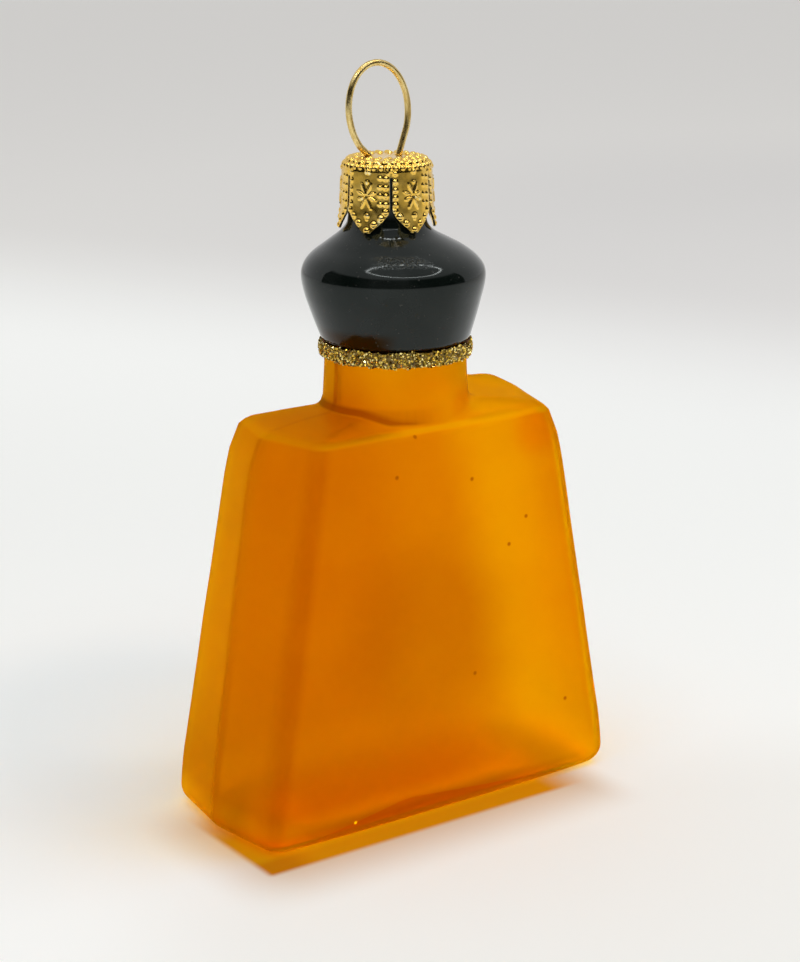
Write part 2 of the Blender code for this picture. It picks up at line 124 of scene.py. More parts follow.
def hexagon_corners(height, inset):
    """The six corners at a height, from the right ridge round to the left, drawn in by an inset."""
    share = height / BODY_HEIGHT
    from_end = min(height, BODY_HEIGHT - height)
    drawn = END_DRAW_IN * max(1 - from_end / END_DRAW_HEIGHT, 0) ** 2
    face = between(BASE_HALF_FACE, TOP_HALF_FACE, share) - drawn
    width = between(BASE_HALF_WIDTH, TOP_HALF_WIDTH, share) - drawn
    depth = between(BASE_HALF_DEPTH, TOP_HALF_DEPTH, share)
    side = math.hypot(depth, width - face)
    slope_x, slope_y = depth / side, (width - face) / side
    reach = width * slope_x - inset
    lines = [
        (slope_x, -slope_y, reach),
        (slope_x, slope_y, reach),
        (0, 1, depth - inset),
        (-slope_x, slope_y, reach),
        (-slope_x, -slope_y, reach),
        (0, -1, depth - inset),
    ]
    return [crossing(lines[k], lines[(k + 1) % len(lines)]) for k in range(len(lines))]


def rounded_corner(before, corner, after, radius, steps):
    """Points along the arc that rounds one corner."""
    one = corner - before
    two = after - corner
    turn = math.atan2(one[0] * two[1] - one[1] * two[0], one @ two)
    length = np.linalg.norm(one)
    reach = min(radius * math.tan(turn / 2), length / 2, np.linalg.norm(two) / 2)
    real_radius = reach / math.tan(turn / 2)
    along = one / length
    start = corner - along * reach
    centre = start + np.array((-along[1], along[0])) * real_radius
    first = math.atan2(*(start - centre)[::-1])
    angles = first + turn * np.linspace(0, 1, steps + 1)
    return centre + real_radius * np.stack((np.cos(angles), np.sin(angles)), axis=1)


def body_outline(height, inset):
    """The rounded hexagon at a height, as a ring of points."""
    corners = hexagon_corners(height, inset)
    arcs = []
    for k, corner in enumerate(corners):
        is_ridge = k in (0, 3)
        radius = (RIDGE_RADIUS if is_ridge else CORNER_RADIUS) - min(inset, CORNER_RADIUS) / 2
        steps = RIDGE_STEPS if is_ridge else CORNER_STEPS
        arc = rounded_corner(corners[k - 1], corner, corners[(k + 1) % 6], radius, steps)
        if is_ridge:
            arc[RIDGE_STEPS // 2] -= corner / np.linalg.norm(corner) * SEAM_DEPTH
        arcs.append(arc)
    ring = []
    for k, arc in enumerate(arcs):
        following = arcs[(k + 1) % 6][0]
        steps = FACE_STEPS if k in (1, 4) else SIDE_STEPS
        shares = np.linspace(0, 1, steps + 1)[1:-1, None]
        ring += [arc, arc[-1] + (following - arc[-1]) * shares]
    return np.concatenate(ring)


print(f"one outline has {len(body_outline(BODY_HEIGHT / 2, 0))} points")

# %% [markdown]
# ## The foot and the walls
#
# Blown glass is never quite flat. The base sinks into a shallow punt, so that the bottle stands on
# a ring. Along the wide faces the foot turns in tightly, and at the corners it is a wide round. The
# walls swell and sink by less than a tenth of a millimetre, which only shows as a soft unevenness
# of the shine.

# %% Rings from the punt up to the shoulder
FOOT_RADIUS = 2.8 * MM
FACE_FOOT_RADIUS = 1.5 * MM
FACE_END_SHARPNESS = 4
FOOT_LAND = 2.6 * MM
PUNT_DEPTH = 1.4 * MM
PUNT_ROUNDNESS = 1.5
SHOULDER_RADIUS = 2.4 * MM
WAVE = 0.05 * MM
QUICK_WAVE_SHARE = 0.4
PUNT_RINGS = 8
FOOT_RINGS = 8
WALL_RINGS = 26


def at_level(points, level):
    """Flat points lifted to a level, which may differ from point to point."""
    return np.column_stack((points, np.broadcast_to(level, len(points))))


def foot_ring(share):
    """One ring of the foot: a wide round at the corners, and a tight one along the wide faces."""
    angle = math.pi / 2 * share
    outer = body_outline(FOOT_RADIUS * share, 0)
    inner = body_outline(FOOT_RADIUS * share, FOOT_RADIUS)
    along_face = np.clip(1 - (outer[:, 0] / BASE_HALF_FACE) ** FACE_END_SHARPNESS, 0, 1)
    radius = between(FOOT_RADIUS, FACE_FOOT_RADIUS, along_face)
    level = radius * (1 - math.cos(angle)) + (FOOT_RADIUS - radius) * share ** 2
    part = (radius / FOOT_RADIUS * (1 - math.sin(angle)))[:, None]
    return at_level(outer + (inner - outer) * part, level)


def waves(points):
    """How far hand-blown walls swell out or sink in. The rates are chosen so that none repeats."""
    x, y, z = points.T / MM
    slow = np.sin(0.21 * x + 0.13 * z + 0.6) * np.sin(0.17 * z - 0.11 * x + 1.1 + 0.2 * y)
    quick = np.sin(0.43 * x - 0.31 * z + 0.5 * y) * np.sin(0.37 * z + 0.9)
    return WAVE * (slow + QUICK_WAVE_SHARE * quick)


standing = 1 - FOOT_LAND / (BASE_HALF_DEPTH - FOOT_RADIUS)
base_outline = body_outline(0, FOOT_RADIUS)
body_rings = []
for share in np.linspace(0, 1, PUNT_RINGS + 1)[1:]:
    rise = PUNT_DEPTH * (1 - share ** 2) ** PUNT_ROUNDNESS
    body_rings.append(at_level(base_outline * standing * share, rise))
for share in np.linspace(0, 1, FOOT_RINGS + 1):
    body_rings.append(foot_ring(share))
for level in np.linspace(FOOT_RADIUS, BODY_HEIGHT - SHOULDER_RADIUS, WALL_RINGS + 2)[1:-1]:
    ring = at_level(body_outline(level, 0), level)
    away = ring * (1, 1, 0)
    away /= np.linalg.norm(away, axis=1)[:, None]
    fade = math.sin(math.pi * level / BODY_HEIGHT)
    body_rings.append(ring + away * (waves(ring) * fade)[:, None])
print(len(body_rings), "rings from the punt to the shoulder")

# %% [markdown]
# ## The shoulder and the neck
#
# The shoulder rolls over, rises a little towards the middle and turns up into the round neck in a
# tight hollow. Its right side came out of the mould fuller than its left. The neck is nearly as
# wide as the body is deep, so at the front it grows out of the rolled edge itself. Each column of
# points first gets the whole roll and crown, and is then cut where it reaches the neck, and the
# hollow is added there. This gives one even net of faces from the hexagon to the circle.

# %% Columns of points over the shoulder
NECK_RADIUS = 9.95 * MM
NECK_HEIGHT = 10.1 * MM
SHOULDER_CROWN = 1.2 * MM
CROWN_MIDDLE_SHARE = 0.3
CROWN_INNER_SHARE = 0.2
CROWN_FLATNESS = 2.3
SHOULDER_FULLNESS = 1.2 * MM
FRONT_FULLNESS_SHARE = 0.3
HUMP_PLACE = (18.5 * MM, 3.5 * MM)
HUMP_RADII = (3.5 * MM, 3.0 * MM)
HUMP_HEIGHT = 0.9 * MM
NECK_FILLET = 1.3 * MM
FILLET_SHARE = 0.85
ROWS_TO_NECK = 0.9
ROLL_RINGS = 12
CROWN_RINGS = 14
SHOULDER_RINGS = 22


def fullness(points):
    """How much higher the right shoulder stands, most of all in a hump behind its end."""
    to_right = np.clip(points[:, 0] / TOP_HALF_FACE, 0, 1)
    to_back = np.clip((points[:, 1] / TOP_HALF_DEPTH + 1) / 2, 0, 1)
    from_hump = (points[:, :2] - HUMP_PLACE) / HUMP_RADII
    hump = HUMP_HEIGHT * np.exp(-(from_hump ** 2).sum(axis=1))
    return SHOULDER_FULLNESS * to_right * between(FRONT_FULLNESS_SHARE, 1, to_back) + hump


shoulder_paths = []
for share in np.linspace(0, 1, ROLL_RINGS + 1):
    angle = math.pi / 2 * share
    level = BODY_HEIGHT - SHOULDER_RADIUS * (1 - math.sin(angle))
    flat_ring = body_outline(level, SHOULDER_RADIUS * (1 - math.cos(angle)))
    shoulder_paths.append(at_level(flat_ring, level + math.sin(angle) * fullness(flat_ring)))
for share in np.linspace(0, 1, CROWN_RINGS + 1)[1:]:
    scale = between(1, CROWN_INNER_SHARE, share)
    outwards = max((scale - CROWN_MIDDLE_SHARE) / (1 - CROWN_MIDDLE_SHARE), 0)
    crown = SHOULDER_CROWN * (1 - outwards ** CROWN_FLATNESS)
    flat_ring = body_outline(BODY_HEIGHT, SHOULDER_RADIUS) * scale
    shoulder_paths.append(at_level(flat_ring, BODY_HEIGHT + crown + fullness(flat_ring)))
shoulder_paths = np.array(shoulder_paths)

shoulder_columns = []
for path in shoulder_paths.transpose(1, 0, 2):
    radii = np.hypot(path[:, 0], path[:, 1])
    hollow = min(NECK_FILLET, FILLET_SHARE * (radii[0] - NECK_RADIUS))
    shares = np.linspace(0, 1, SHOULDER_RINGS + 1)[1:]
    wanted = between(radii[0], NECK_RADIUS, shares ** ROWS_TO_NECK)
    falling = radii[::-1]
    x, y, level = (np.interp(wanted, falling, path[::-1, axis]) for axis in range(3))
    angle = np.arctan2(y, x)
    into_hollow = np.clip(1 - (wanted - NECK_RADIUS) / hollow, 0, 1)
    level += hollow * (1 - np.sqrt(1 - into_hollow ** 2))
    column = np.column_stack((wanted * np.cos(angle), wanted * np.sin(angle), level))
    shoulder_columns.append(column)
shoulder_columns = np.array(shoulder_columns)
body_rings += list(shoulder_columns.transpose(1, 0, 2))
neck_angles = np.arctan2(shoulder_columns[:, -1, 1], shoulder_columns[:, -1, 0])
neck_foot = shoulder_columns[:, -1, 2]
print(f"the neck starts {neck_foot.min() / MM:.1f} to {neck_foot.max() / MM:.1f} mm up")

# %% [markdown]
# ## The drawn stem: neck, bulb and pike
#
# Above the shoulder the glass is round, so it is a profile of radii and heights that goes round an
# axis. The bulb is shaped like a stopper, and above it the tube that the glassblower held, the
# pike, goes up inside the cap. The hot stem leaned a little to the left while it was drawn, so the
# axis wanders with the height. A smooth curve through a few measured points gives the profile.

# %% Profile of the stem and its lean
BULB_RADIUS = 12.1 * MM
LOWER_BULB_HEIGHT = 8.5 * MM
UPPER_BULB_HEIGHT = 6.5 * MM
PIKE_RADIUS = 4.9 * MM
PIKE_FOOT_FLARE = 0.65 * MM
PIKE_FOOT_HEIGHT = 1.8 * MM
PIKE_DRIFT = 1.35 * MM
NECK_TOP = BODY_HEIGHT + NECK_HEIGHT
BULB_WIDEST = NECK_TOP + LOWER_BULB_HEIGHT
BULB_TOP = BULB_WIDEST + UPPER_BULB_HEIGHT
PIKE_FOOT_RADIUS = PIKE_RADIUS + PIKE_FOOT_FLARE
CAP_TOP = 89.65 * MM
PIKE_TOP = 88.75 * MM
WAIST_SHARE = 0.97

LOWER_BULB_SHARES = ((0.00, 0.00), (0.22, 0.27), (0.45, 0.53), (0.66, 0.75), (0.85, 0.92), (1.00, 1.00))
UPPER_BULB_SHARES = (
    (0.14, 0.01),
    (0.28, 0.07),
    (0.43, 0.20),
    (0.58, 0.40),
    (0.74, 0.65),
    (0.88, 0.87),
    (1.00, 1.00),
)
PIKE_FOOT_SHARES = ((0.45, 0.75), (1.00, 1.00))
DRIFT_SHARES = ((0.00, 0.00), (0.40, 0.25), (0.66, 0.25), (0.85, 0.45), (0.97, 0.95), (1.00, 1.00))


def bulb_points():
    """(radius, height) points up the glass, from the waist under the bulb to the foot of the pike."""
    waist = NECK_RADIUS * WAIST_SHARE
    points = []
    for up, out in LOWER_BULB_SHARES:
        points.append((between(waist, BULB_RADIUS, out), NECK_TOP + LOWER_BULB_HEIGHT * up))
    for up, out in UPPER_BULB_SHARES:
        radius = between(BULB_RADIUS, PIKE_FOOT_RADIUS, out)
        points.append((radius, BULB_WIDEST + UPPER_BULB_HEIGHT * up))
    for up, out in PIKE_FOOT_SHARES:
        points.append((PIKE_FOOT_RADIUS - PIKE_FOOT_FLARE * out, BULB_TOP + PIKE_FOOT_HEIGHT * up))
    return np.array(points)


def smooth_through(points, steps):
    """A smooth curve through points, with so many steps between each two."""
    padded = np.vstack((2 * points[0] - points[1], points, 2 * points[-1] - points[-2]))
    curve = []
    for a, b, c, d in zip(padded, padded[1:], padded[2:], padded[3:]):
        for t in np.linspace(0, 1, steps, endpoint=False):
            ahead = (c - a) * t + (2 * a - 5 * b + 4 * c - d) * t ** 2
            curve.append(b + (ahead + (3 * b - a - 3 * c + d) * t ** 3) / 2)
    curve.append(points[-1])
    return np.array(curve)


def lean(height):
    """How far the stem's axis lies along X at a height."""
    share = (height - NECK_TOP) / (BULB_TOP - NECK_TOP)
    return -PIKE_DRIFT * np.interp(share, *np.array(DRIFT_SHARES).T)


bulb_curve = smooth_through(bulb_points(), 4)
print(f"bulb curve of {len(bulb_curve)} points, widest {bulb_curve[:, 0].max() / MM:.2f} mm")

# %% [markdown]
# ## One blown shell
#
# The rings are joined into a skin. Glass has a thickness, and light is bent where it goes in and
# where it comes out, so a glass object in Blender needs an inner skin too. It is the same net moved
# inwards along its normals, and a narrow rim at the mouth joins the two, so the shell is closed and
# hollow, like the real one.

# %% Build the glass
GLASS_WALL = 1.0 * MM
PIKE_WALL = 0.6 * MM
NECK_END_GAP = 0.5 * MM
NECK_RINGS = 14
PIKE_RINGS = 5


def circle(angles, radius):
    """Flat points round a circle."""
    return np.column_stack((np.cos(angles), np.sin(angles))) * radius


def turned(profile, angles):
    """Rings of points round the stem's leaning axis, one for each (radius, height)."""
    return [at_level(circle(angles, radius) + (lean(level), 0), level) for radius, level in profile]


def rows_of(mesh, rings):
    """New vertices for rings of points, one row for each ring."""
    return [[mesh.verts.new(point) for point in ring] for ring in rings]


def join_rings(mesh, rows):
    """Faces between rows of vertices that run all the way round."""
    for low, high in zip(rows, rows[1:]):
        for i in range(len(low)):
            j = (i + 1) % len(low)
            mesh.faces.new((low[i], low[j], high[j], high[i]))


def close_round(mesh, row, middle):
    """Faces that close a row of vertices round its middle."""
    for i in range(len(row)):
        mesh.faces.new((row[i], row[(i + 1) % len(row)], middle))


def piece_from(mesh, name, crease=math.radians(40)):
    """A smooth-shaded object from a finished net of faces."""
    bmesh.ops.recalc_face_normals(mesh, faces=mesh.faces)
    data = bpy.data.meshes.new(name)
    mesh.to_mesh(data)
    mesh.free()
    data.shade_smooth()
    data.set_sharp_from_angle(angle=crease)
    obj = bpy.data.objects.new(name, data)
    scene.collection.objects.link(obj)
    return obj


stem_rings = []
for share in np.linspace(0, 1, NECK_RINGS + 1)[1:]:
    level = between(neck_foot, NECK_TOP - NECK_END_GAP, share)
    waist = between(1, WAIST_SHARE, math.sin(math.pi / 2 * share))
    stem_rings.append(at_level(circle(neck_angles, NECK_RADIUS * waist), level))
pike_levels = np.linspace(bulb_curve[-1, 1], PIKE_TOP, PIKE_RINGS + 1)[1:]
stem_curve = np.vstack((bulb_curve, [(PIKE_RADIUS, level) for level in pike_levels]))
stem_rings += turned(stem_curve, neck_angles)

net = bmesh.new()
outer_rows = rows_of(net, body_rings + stem_rings)
join_rings(net, outer_rows)
punt_middle = net.verts.new((0, 0, PUNT_DEPTH))
close_round(net, outer_rows[0], punt_middle)
bmesh.ops.recalc_face_normals(net, faces=net.faces)
net.normal_update()
inner_rows = []
for row in outer_rows:
    to_pike = np.clip((row[0].co.z - BULB_WIDEST) / (BULB_TOP - BULB_WIDEST), 0, 1)
    wall = between(GLASS_WALL, PIKE_WALL, float(to_pike))
    inner_rows.append([net.verts.new(vert.co - vert.normal * wall) for vert in row])
inner_middle = net.verts.new(punt_middle.co - punt_middle.normal * GLASS_WALL)
join_rings(net, inner_rows)
close_round(net, inner_rows[0], inner_middle)
join_rings(net, [outer_rows[-1], inner_rows[-1]])
amber_body = piece_from(net, "amber_body", math.radians(60))
print(f"glass shell: {len(amber_body.data.polygons)} faces")

# %% [markdown]
# ## The black lacquer
#
# The bulb and the pike are dipped in black lacquer, upside down, as far as the glitter. The coat is
# the glass's own profile moved square to itself, once for each side of the film, and turned round
# the leaning axis. As a piece of its own it has its own sharp shine over the matt glass.

# %% Turn the lacquer coat
COAT_OFFSET = 0.35 * MM
COAT_THICKNESS = 0.15 * MM
COAT_BELOW_MOUTH = 0.3 * MM
COAT_STEPS = 144
BAND_GAP = 0.15 * MM


def moved_out(points, distance):
    """A profile moved square to itself, outwards for a positive distance."""
    run = np.gradient(points, axis=0)
    run /= np.linalg.norm(run, axis=1)[:, None]
    return points + np.column_stack((run[:, 1], -run[:, 0])) * distance


def all_round(steps):
    """So many angles, spread evenly all the way round."""
    return np.arange(steps) * math.tau / steps


coated_glass = stem_curve.copy()
coated_glass[-1, 1] -= COAT_BELOW_MOUTH
coat_outer = moved_out(coated_glass, COAT_OFFSET)
coat_inner = moved_out(coated_glass, COAT_OFFSET - COAT_THICKNESS)
for curve in (coat_outer, coat_inner):
    curve[0, 1] = NECK_TOP + BAND_GAP
coat_profile = np.vstack((coat_outer, coat_inner[::-1]))
net = bmesh.new()
rows = rows_of(net, turned(coat_profile, all_round(COAT_STEPS)))
join_rings(net, rows + rows[:1])
black_lacquer = piece_from(net, "lacquered_bulb", math.radians(60))
print(f"lacquer from {NECK_TOP / MM:.1f} to {coat_outer[-1, 1] / MM:.1f} mm up")

# %% [markdown]
# ## The glitter band
#
# Round the foot of the bulb somebody drew a ring of clear glue and rolled it in coarse glitter. The
# ring is a low ridge that follows the neck. Both its edges are ragged, since it was drawn by hand.
# Three slow and quick ripples added together look ragged enough, and need no dice.

# %% Ring of glue
BAND_HEIGHT = 2.2 * MM
BAND_FOOT = NECK_TOP - BAND_HEIGHT
BAND_INSET = 0.12 * MM
BAND_RIPPLE = 0.06 * MM
BAND_WAVES = ((9, 1), (23, 2), (41, 0))
BAND_STEPS = 240
GLUE_THICKNESS = 0.22 * MM
GLUE_SECTION = ((0, 0), (0, 0.4), (0.2, 0.9), (0.5, 1), (0.8, 0.9), (1, 0.4), (1, 0))


def band_edge(angle, upper):
    """The ragged height of the band's lower edge, or with upper = 1 of its upper edge."""
    ripple = sum(math.sin(turns * angle + shift * upper) for turns, shift in BAND_WAVES)
    return between(BAND_FOOT + BAND_INSET, NECK_TOP - BAND_INSET, upper) + BAND_RIPPLE * ripple


def in_band(angle, height_share, out):
    """A point in the band, a share of the way up it and so far out of the neck's wall."""
    level = between(band_edge(angle, 0), band_edge(angle, 1), height_share)
    radius = NECK_RADIUS + BAND_GAP + out
    return Vector((radius * math.cos(angle), radius * math.sin(angle), level))


glue_rings = []
for height_share, proud_share in GLUE_SECTION:
    out = GLUE_THICKNESS * proud_share
    glue_rings.append([in_band(angle, height_share, out) for angle in all_round(BAND_STEPS)])
net = bmesh.new()
rows = rows_of(net, glue_rings)
join_rings(net, rows + rows[:1])
glue_ring = piece_from(net, "glitter_glue")

# %% [markdown]
# ### The flakes
#
# Glitter is thousands of tiny foil hexagons that lie every way, and only real little faces flash
# one by one as the light finds them. Particles could scatter them. Here a seeded dice places each
# flake, so that the band comes out the same every time, and every flake keeps its own tone.

# %% Flakes of glitter
FLAKES = 3200
FLAKE_RADII = (0.11 * MM, 0.20 * MM)
FLAKE_LIFTS = (0.02, 0.13)
FLAKE_SPREAD = (-0.03, 1.03)
FLAKE_THICKNESS = 0.03 * MM
FLAKE_SIDES = 6
FLAKE_TILT = 0.8
FLAKE_OUTWARDS = 1.3
dice = random.Random(7)


def add_flake(mesh, tone_layer, centre, facing):
    """One foil hexagon, with a tone of its own."""
    across = facing.orthogonal().normalized()
    across.rotate(Quaternion(facing, dice.uniform(0, math.tau)))
    other = facing.cross(across)
    size = dice.uniform(*FLAKE_RADII)
    shade = dice.random()
    sides = []
    for side in (-0.5, 0.5):
        ring = []
        for turn in all_round(FLAKE_SIDES):
            corner = (across * math.cos(turn) + other * math.sin(turn)) * size
            vert = mesh.verts.new(centre + corner + facing * side * FLAKE_THICKNESS)
            vert[tone_layer] = (shade, shade, shade, 1)
            ring.append(vert)
        sides.append(ring)
    join_rings(mesh, sides)
    mesh.faces.new(sides[0][::-1])
    mesh.faces.new(sides[1])


net = bmesh.new()
tones = net.verts.layers.float_color.new("flake_tone")
for _ in range(FLAKES):
    angle = dice.uniform(0, math.tau)
    share = dice.uniform(*FLAKE_SPREAD)
    swell = GLUE_THICKNESS * math.sqrt(max(1 - (2 * share - 1) ** 2, 0))
    centre = in_band(angle, share, swell + dice.uniform(*FLAKE_LIFTS) * MM)
    tilt = Vector((dice.gauss(0, 1), dice.gauss(0, 1), dice.gauss(0, 1))) * FLAKE_TILT
    outwards = Vector((math.cos(angle), math.sin(angle), 0)) * FLAKE_OUTWARDS
    add_flake(net, tones, centre, (outwards + tilt).normalized())
glitter_flakes = piece_from(net, "glitter_flakes", 0.1)
print(f"{FLAKES} flakes, {len(glitter_flakes.data.polygons)} faces")

# %% [markdown]
# ## The crown cap, as a bare sheet
#
# The cap is pressed out of thin brass: a flat top, a rounded rim and a skirt that is slit into six
# petals with pointed ends. It is a net of rows and columns again. The rows follow the profile from
# the middle out and down, and the columns squeeze together where a petal narrows. So the outline
# of the petals is a line of the net, with no cut to make and no ragged edge.

# %% Profile and net of the cap
CAP_SHEET = 0.3 * MM
CAP_HEIGHT = 9.4 * MM
CAP_RADIUS = 6.02 * MM
CAP_SKIRT_RADIUS = 6.36 * MM
CAP_SHOULDER_WIDTH = 1.85 * MM
CAP_SHOULDER_DROP = 1.4 * MM
CAP_TIPS = CAP_TOP - CAP_HEIGHT
CAP_FLAT = CAP_RADIUS - CAP_SHOULDER_WIDTH
CAP_AXIS_X = -PIKE_DRIFT
PETALS = 6
PETAL_TURN = math.tau / PETALS
PETAL_POINT_HEIGHT = 2.9 * MM
PETAL_TIP_WIDTH = 0.8 * MM
PETAL_POINT_SHARES = ((0, 0), (0.25, 0.16), (0.55, 0.47), (0.85, 0.83), (1, 1))
SLIT_WIDTH = 0.4 * MM
SLIT_BELOW_TOP = 2.1 * MM
CAP_SHOULDER_SHARES = (
    (0.00, 0.00),
    (0.22, 0.04),
    (0.45, 0.14),
    (0.64, 0.29),
    (0.80, 0.51),
    (0.93, 0.76),
    (1.00, 1.00),
)
PETAL_COLUMNS = 52
GAP_COLUMNS = 3
TOP_ROWS = 8
TOP_ROW_SHARES = (0.04, 0.60)
RIM_START_SHARE = 0.63
ROW_STEP = 0.115 * MM
SKIRT_ROWS = 68
RUN_STEP = 0.15 * MM
CURVE_STEPS = 6

shoulder_marks = []
for out, down in CAP_SHOULDER_SHARES:
    mark = (CAP_FLAT + CAP_SHOULDER_WIDTH * out, CAP_TOP - CAP_SHOULDER_DROP * down)
    shoulder_marks.append(mark)
shoulder_curve = smooth_through(np.array(shoulder_marks), CURVE_STEPS)
cap_middle = [(0, CAP_TOP), (CAP_FLAT / 2, CAP_TOP)]
cap_line = np.vstack((cap_middle, shoulder_curve, [(CAP_SKIRT_RADIUS, CAP_TIPS)]))
steps_along = np.linalg.norm(np.diff(cap_line, axis=0), axis=1)
cap_length = np.concatenate(([0], np.cumsum(steps_along)))


def on_cap(length):
    """Radius and height of the bare cap at a length along its profile, from the middle out."""
    return np.array([np.interp(length, cap_length, line) for line in cap_line.T])


def length_at_depth(depth):
    """Length along the profile to a depth below the top."""
    return np.interp(CAP_TOP - depth, cap_line[::-1, 1], cap_length[::-1])


def half_petal(depth):
    """Half the angle that a petal takes up at a depth below the top."""
    into_point = (depth - CAP_HEIGHT + PETAL_POINT_HEIGHT) / PETAL_POINT_HEIGHT
    open_share = np.interp(into_point, *np.array(PETAL_POINT_SHARES).T)
    widest_gap = CAP_SKIRT_RADIUS * math.sin(PETAL_TURN / 2) - PETAL_TIP_WIDTH / 2
    half_gap = between(SLIT_WIDTH / 2, widest_gap, open_share)
    return PETAL_TURN / 2 - math.asin(half_gap / CAP_SKIRT_RADIUS)


top_rows = np.linspace(*TOP_ROW_SHARES, TOP_ROWS) * CAP_FLAT
rim_end = length_at_depth(CAP_SHOULDER_DROP)
rim_rows = np.arange(CAP_FLAT * RIM_START_SHARE, rim_end, ROW_STEP)
skirt_rows = np.linspace(rim_rows[-1] + ROW_STEP, cap_length[-1], SKIRT_ROWS)
row_lengths = np.concatenate((top_rows, rim_rows, skirt_rows))
row_radius, row_level = on_cap(row_lengths)
row_run = on_cap(row_lengths + RUN_STEP) - on_cap(row_lengths - RUN_STEP)
row_run /= np.linalg.norm(row_run, axis=0)
row_out, row_up = -row_run[1], row_run[0]

column_angles = []
for depth in CAP_TOP - row_level:
    half = half_petal(depth)
    gap = PETAL_TURN - 2 * half
    ring = []
    for petal in range(PETALS):
        middle = PETAL_TURN * (petal + 0.5)
        ring.append(middle + half * np.linspace(-1, 1, PETAL_COLUMNS + 1))
        ring.append(middle + half + gap * np.linspace(0, 1, GAP_COLUMNS + 1)[1:-1])
    column_angles.append(np.concatenate(ring))
column_angles = np.array(column_angles)
lengths = np.broadcast_to(row_lengths[:, None], column_angles.shape)
radii = np.broadcast_to(row_radius[:, None], column_angles.shape)
print("cap net, rows and columns:", column_angles.shape)

# %% [markdown]
# ## The stamped pattern
#
# A press forms the beads and flowers in one blow, from inside, so they are part of the sheet and
# as round as the press left them. A height for each point of the net does the same. A bead is a
# rounded bump by distance from its middle, a leaf of the flower is a bump by distance from a short
# line, and of all the bumps the highest one counts. A texture could fake this as a bump map, but
# the beads stand out on the cap's own outline, and only real shape does that.

# %% Beads and flowers as a height over the net
# Each rim row: how many beads, millimetres beyond the flat top, their radius and height.
RIM_ROWS = (
    (15, -0.95, 0.48, 0.28),
    (20, 0.06, 0.50, 0.28),
    (28, 1.00, 0.52, 0.27),
    (38, 1.88, 0.43, 0.24),
)
# Each column down a petal: place across it, radius and height of its beads, and their depths.
BEAD_COLUMNS = (
    (-2.62, 0.33, 0.20, (1.56, 2.65, 3.75, 4.72, 5.66)),
    (1.72, 0.29, 0.17, (2.18, 3.33, 4.42, 5.54)),
    (2.46, 0.33, 0.20, (2.24, 3.39, 4.48, 5.60)),
)
POINT_BEAD_SIZE = (0.40, 0.23)
# Beads along the pointed end: place across the petal, and depth.
POINT_BEADS = (
    (-2.75, 6.50),
    (-2.02, 7.22),
    (-1.16, 8.08),
    (-0.02, 9.02),
    (0.90, 8.20),
    (1.82, 7.40),
    (2.42, 6.58),
)
# Single beads on the petal's middle line: depth, radius and height.
MIDDLE_BEADS = ((1.35, 0.38, 0.21), (2.72, 0.25, 0.15), (7.1, 0.36, 0.15), (7.55, 0.2, 0.1))
BEAD_FULLNESS = 0.6
FLOWER_LEAVES = 8
FLOWER_DEPTH = 4.55
FLOWER_OFFSET = -0.15
LEAF_START = 0.36
LEAF_REACHES = (1.35, 1.78, 1.62, 1.25, 1.40, 1.75, 1.70, 1.22)
LEAF_SIZE = (0.20 * MM, 0.16 * MM)
LEAF_END_WIDTH = 0.42
LEAF_SWELL = (0.08, 0.98)
ARCH_BUMPS = 7
ARCH_DEPTH = 1.62
ARCH_RADIUS = 0.42
ARCH_BUMP_SIZE = (0.18, 0.13)

relief = np.zeros(column_angles.shape)


def bump(distance, radius, height):
    """A round-topped bump by distance from its middle."""
    share = np.clip(1 - (distance / radius) ** 2, 0, 1)
    return height * share * (1 + BEAD_FULLNESS * (1 - share))


def away_from(angle, length):
    """How far round and how far down each point of the net lies from a place on the cap."""
    turn = (column_angles - angle + math.pi) % math.tau - math.pi
    return turn * radii, lengths - length


def raise_bead(angle, length, radius, height):
    """Emboss one bead. Its radius and height are in millimetres."""
    distance = np.hypot(*away_from(angle, length))
    np.maximum(relief, bump(distance, radius * MM, height * MM), out=relief)


def raise_leaf(angle, length, turn, reach):
    """Emboss one leaf of the flower, outwards from its middle in the direction of turn."""
    across, down = away_from(angle, length)
    run = np.array((math.cos(turn), math.sin(turn)))
    out = across * run[0] + down * run[1]
    share = np.clip((out / MM - LEAF_START) / (reach - LEAF_START), 0, 1)
    on_line = (LEAF_START + share * (reach - LEAF_START)) * MM
    distance = np.hypot(across - run[0] * on_line, down - run[1] * on_line)
    width = between(LEAF_END_WIDTH, 1, np.sin(math.pi * between(*LEAF_SWELL, share)))
    np.maximum(relief, bump(distance / width, *LEAF_SIZE), out=relief)


for count, beyond_flat, radius, height in RIM_ROWS:
    for angle in all_round(count):
        raise_bead(angle, CAP_FLAT + beyond_flat * MM, radius, height)

petal_beads = [(x, depth, *POINT_BEAD_SIZE) for x, depth in POINT_BEADS]
petal_beads += [(0, *bead) for bead in MIDDLE_BEADS]
for x, radius, height, depths in BEAD_COLUMNS:
    petal_beads += [(x, depth, radius, height) for depth in depths]
heart = length_at_depth(FLOWER_DEPTH * MM)
for petal in range(PETALS):
    middle = PETAL_TURN * (petal + 0.5)
    for x, depth, radius, height in petal_beads:
        angle = middle + x * MM / CAP_RADIUS
        raise_bead(angle, length_at_depth(depth * MM), radius, height)
    for k, reach in enumerate(LEAF_REACHES):
        turn = math.tau * (k + 0.5) / FLOWER_LEAVES
        raise_leaf(middle + FLOWER_OFFSET * MM / CAP_RADIUS, heart, turn, reach)
    for turn in np.linspace(0, math.pi, ARCH_BUMPS):
        angle = middle + PETAL_TURN / 2 + math.cos(turn) * ARCH_RADIUS * MM / CAP_RADIUS
        depth = ARCH_DEPTH - ARCH_RADIUS * math.sin(turn)
        raise_bead(angle, length_at_depth(depth * MM), *ARCH_BUMP_SIZE)
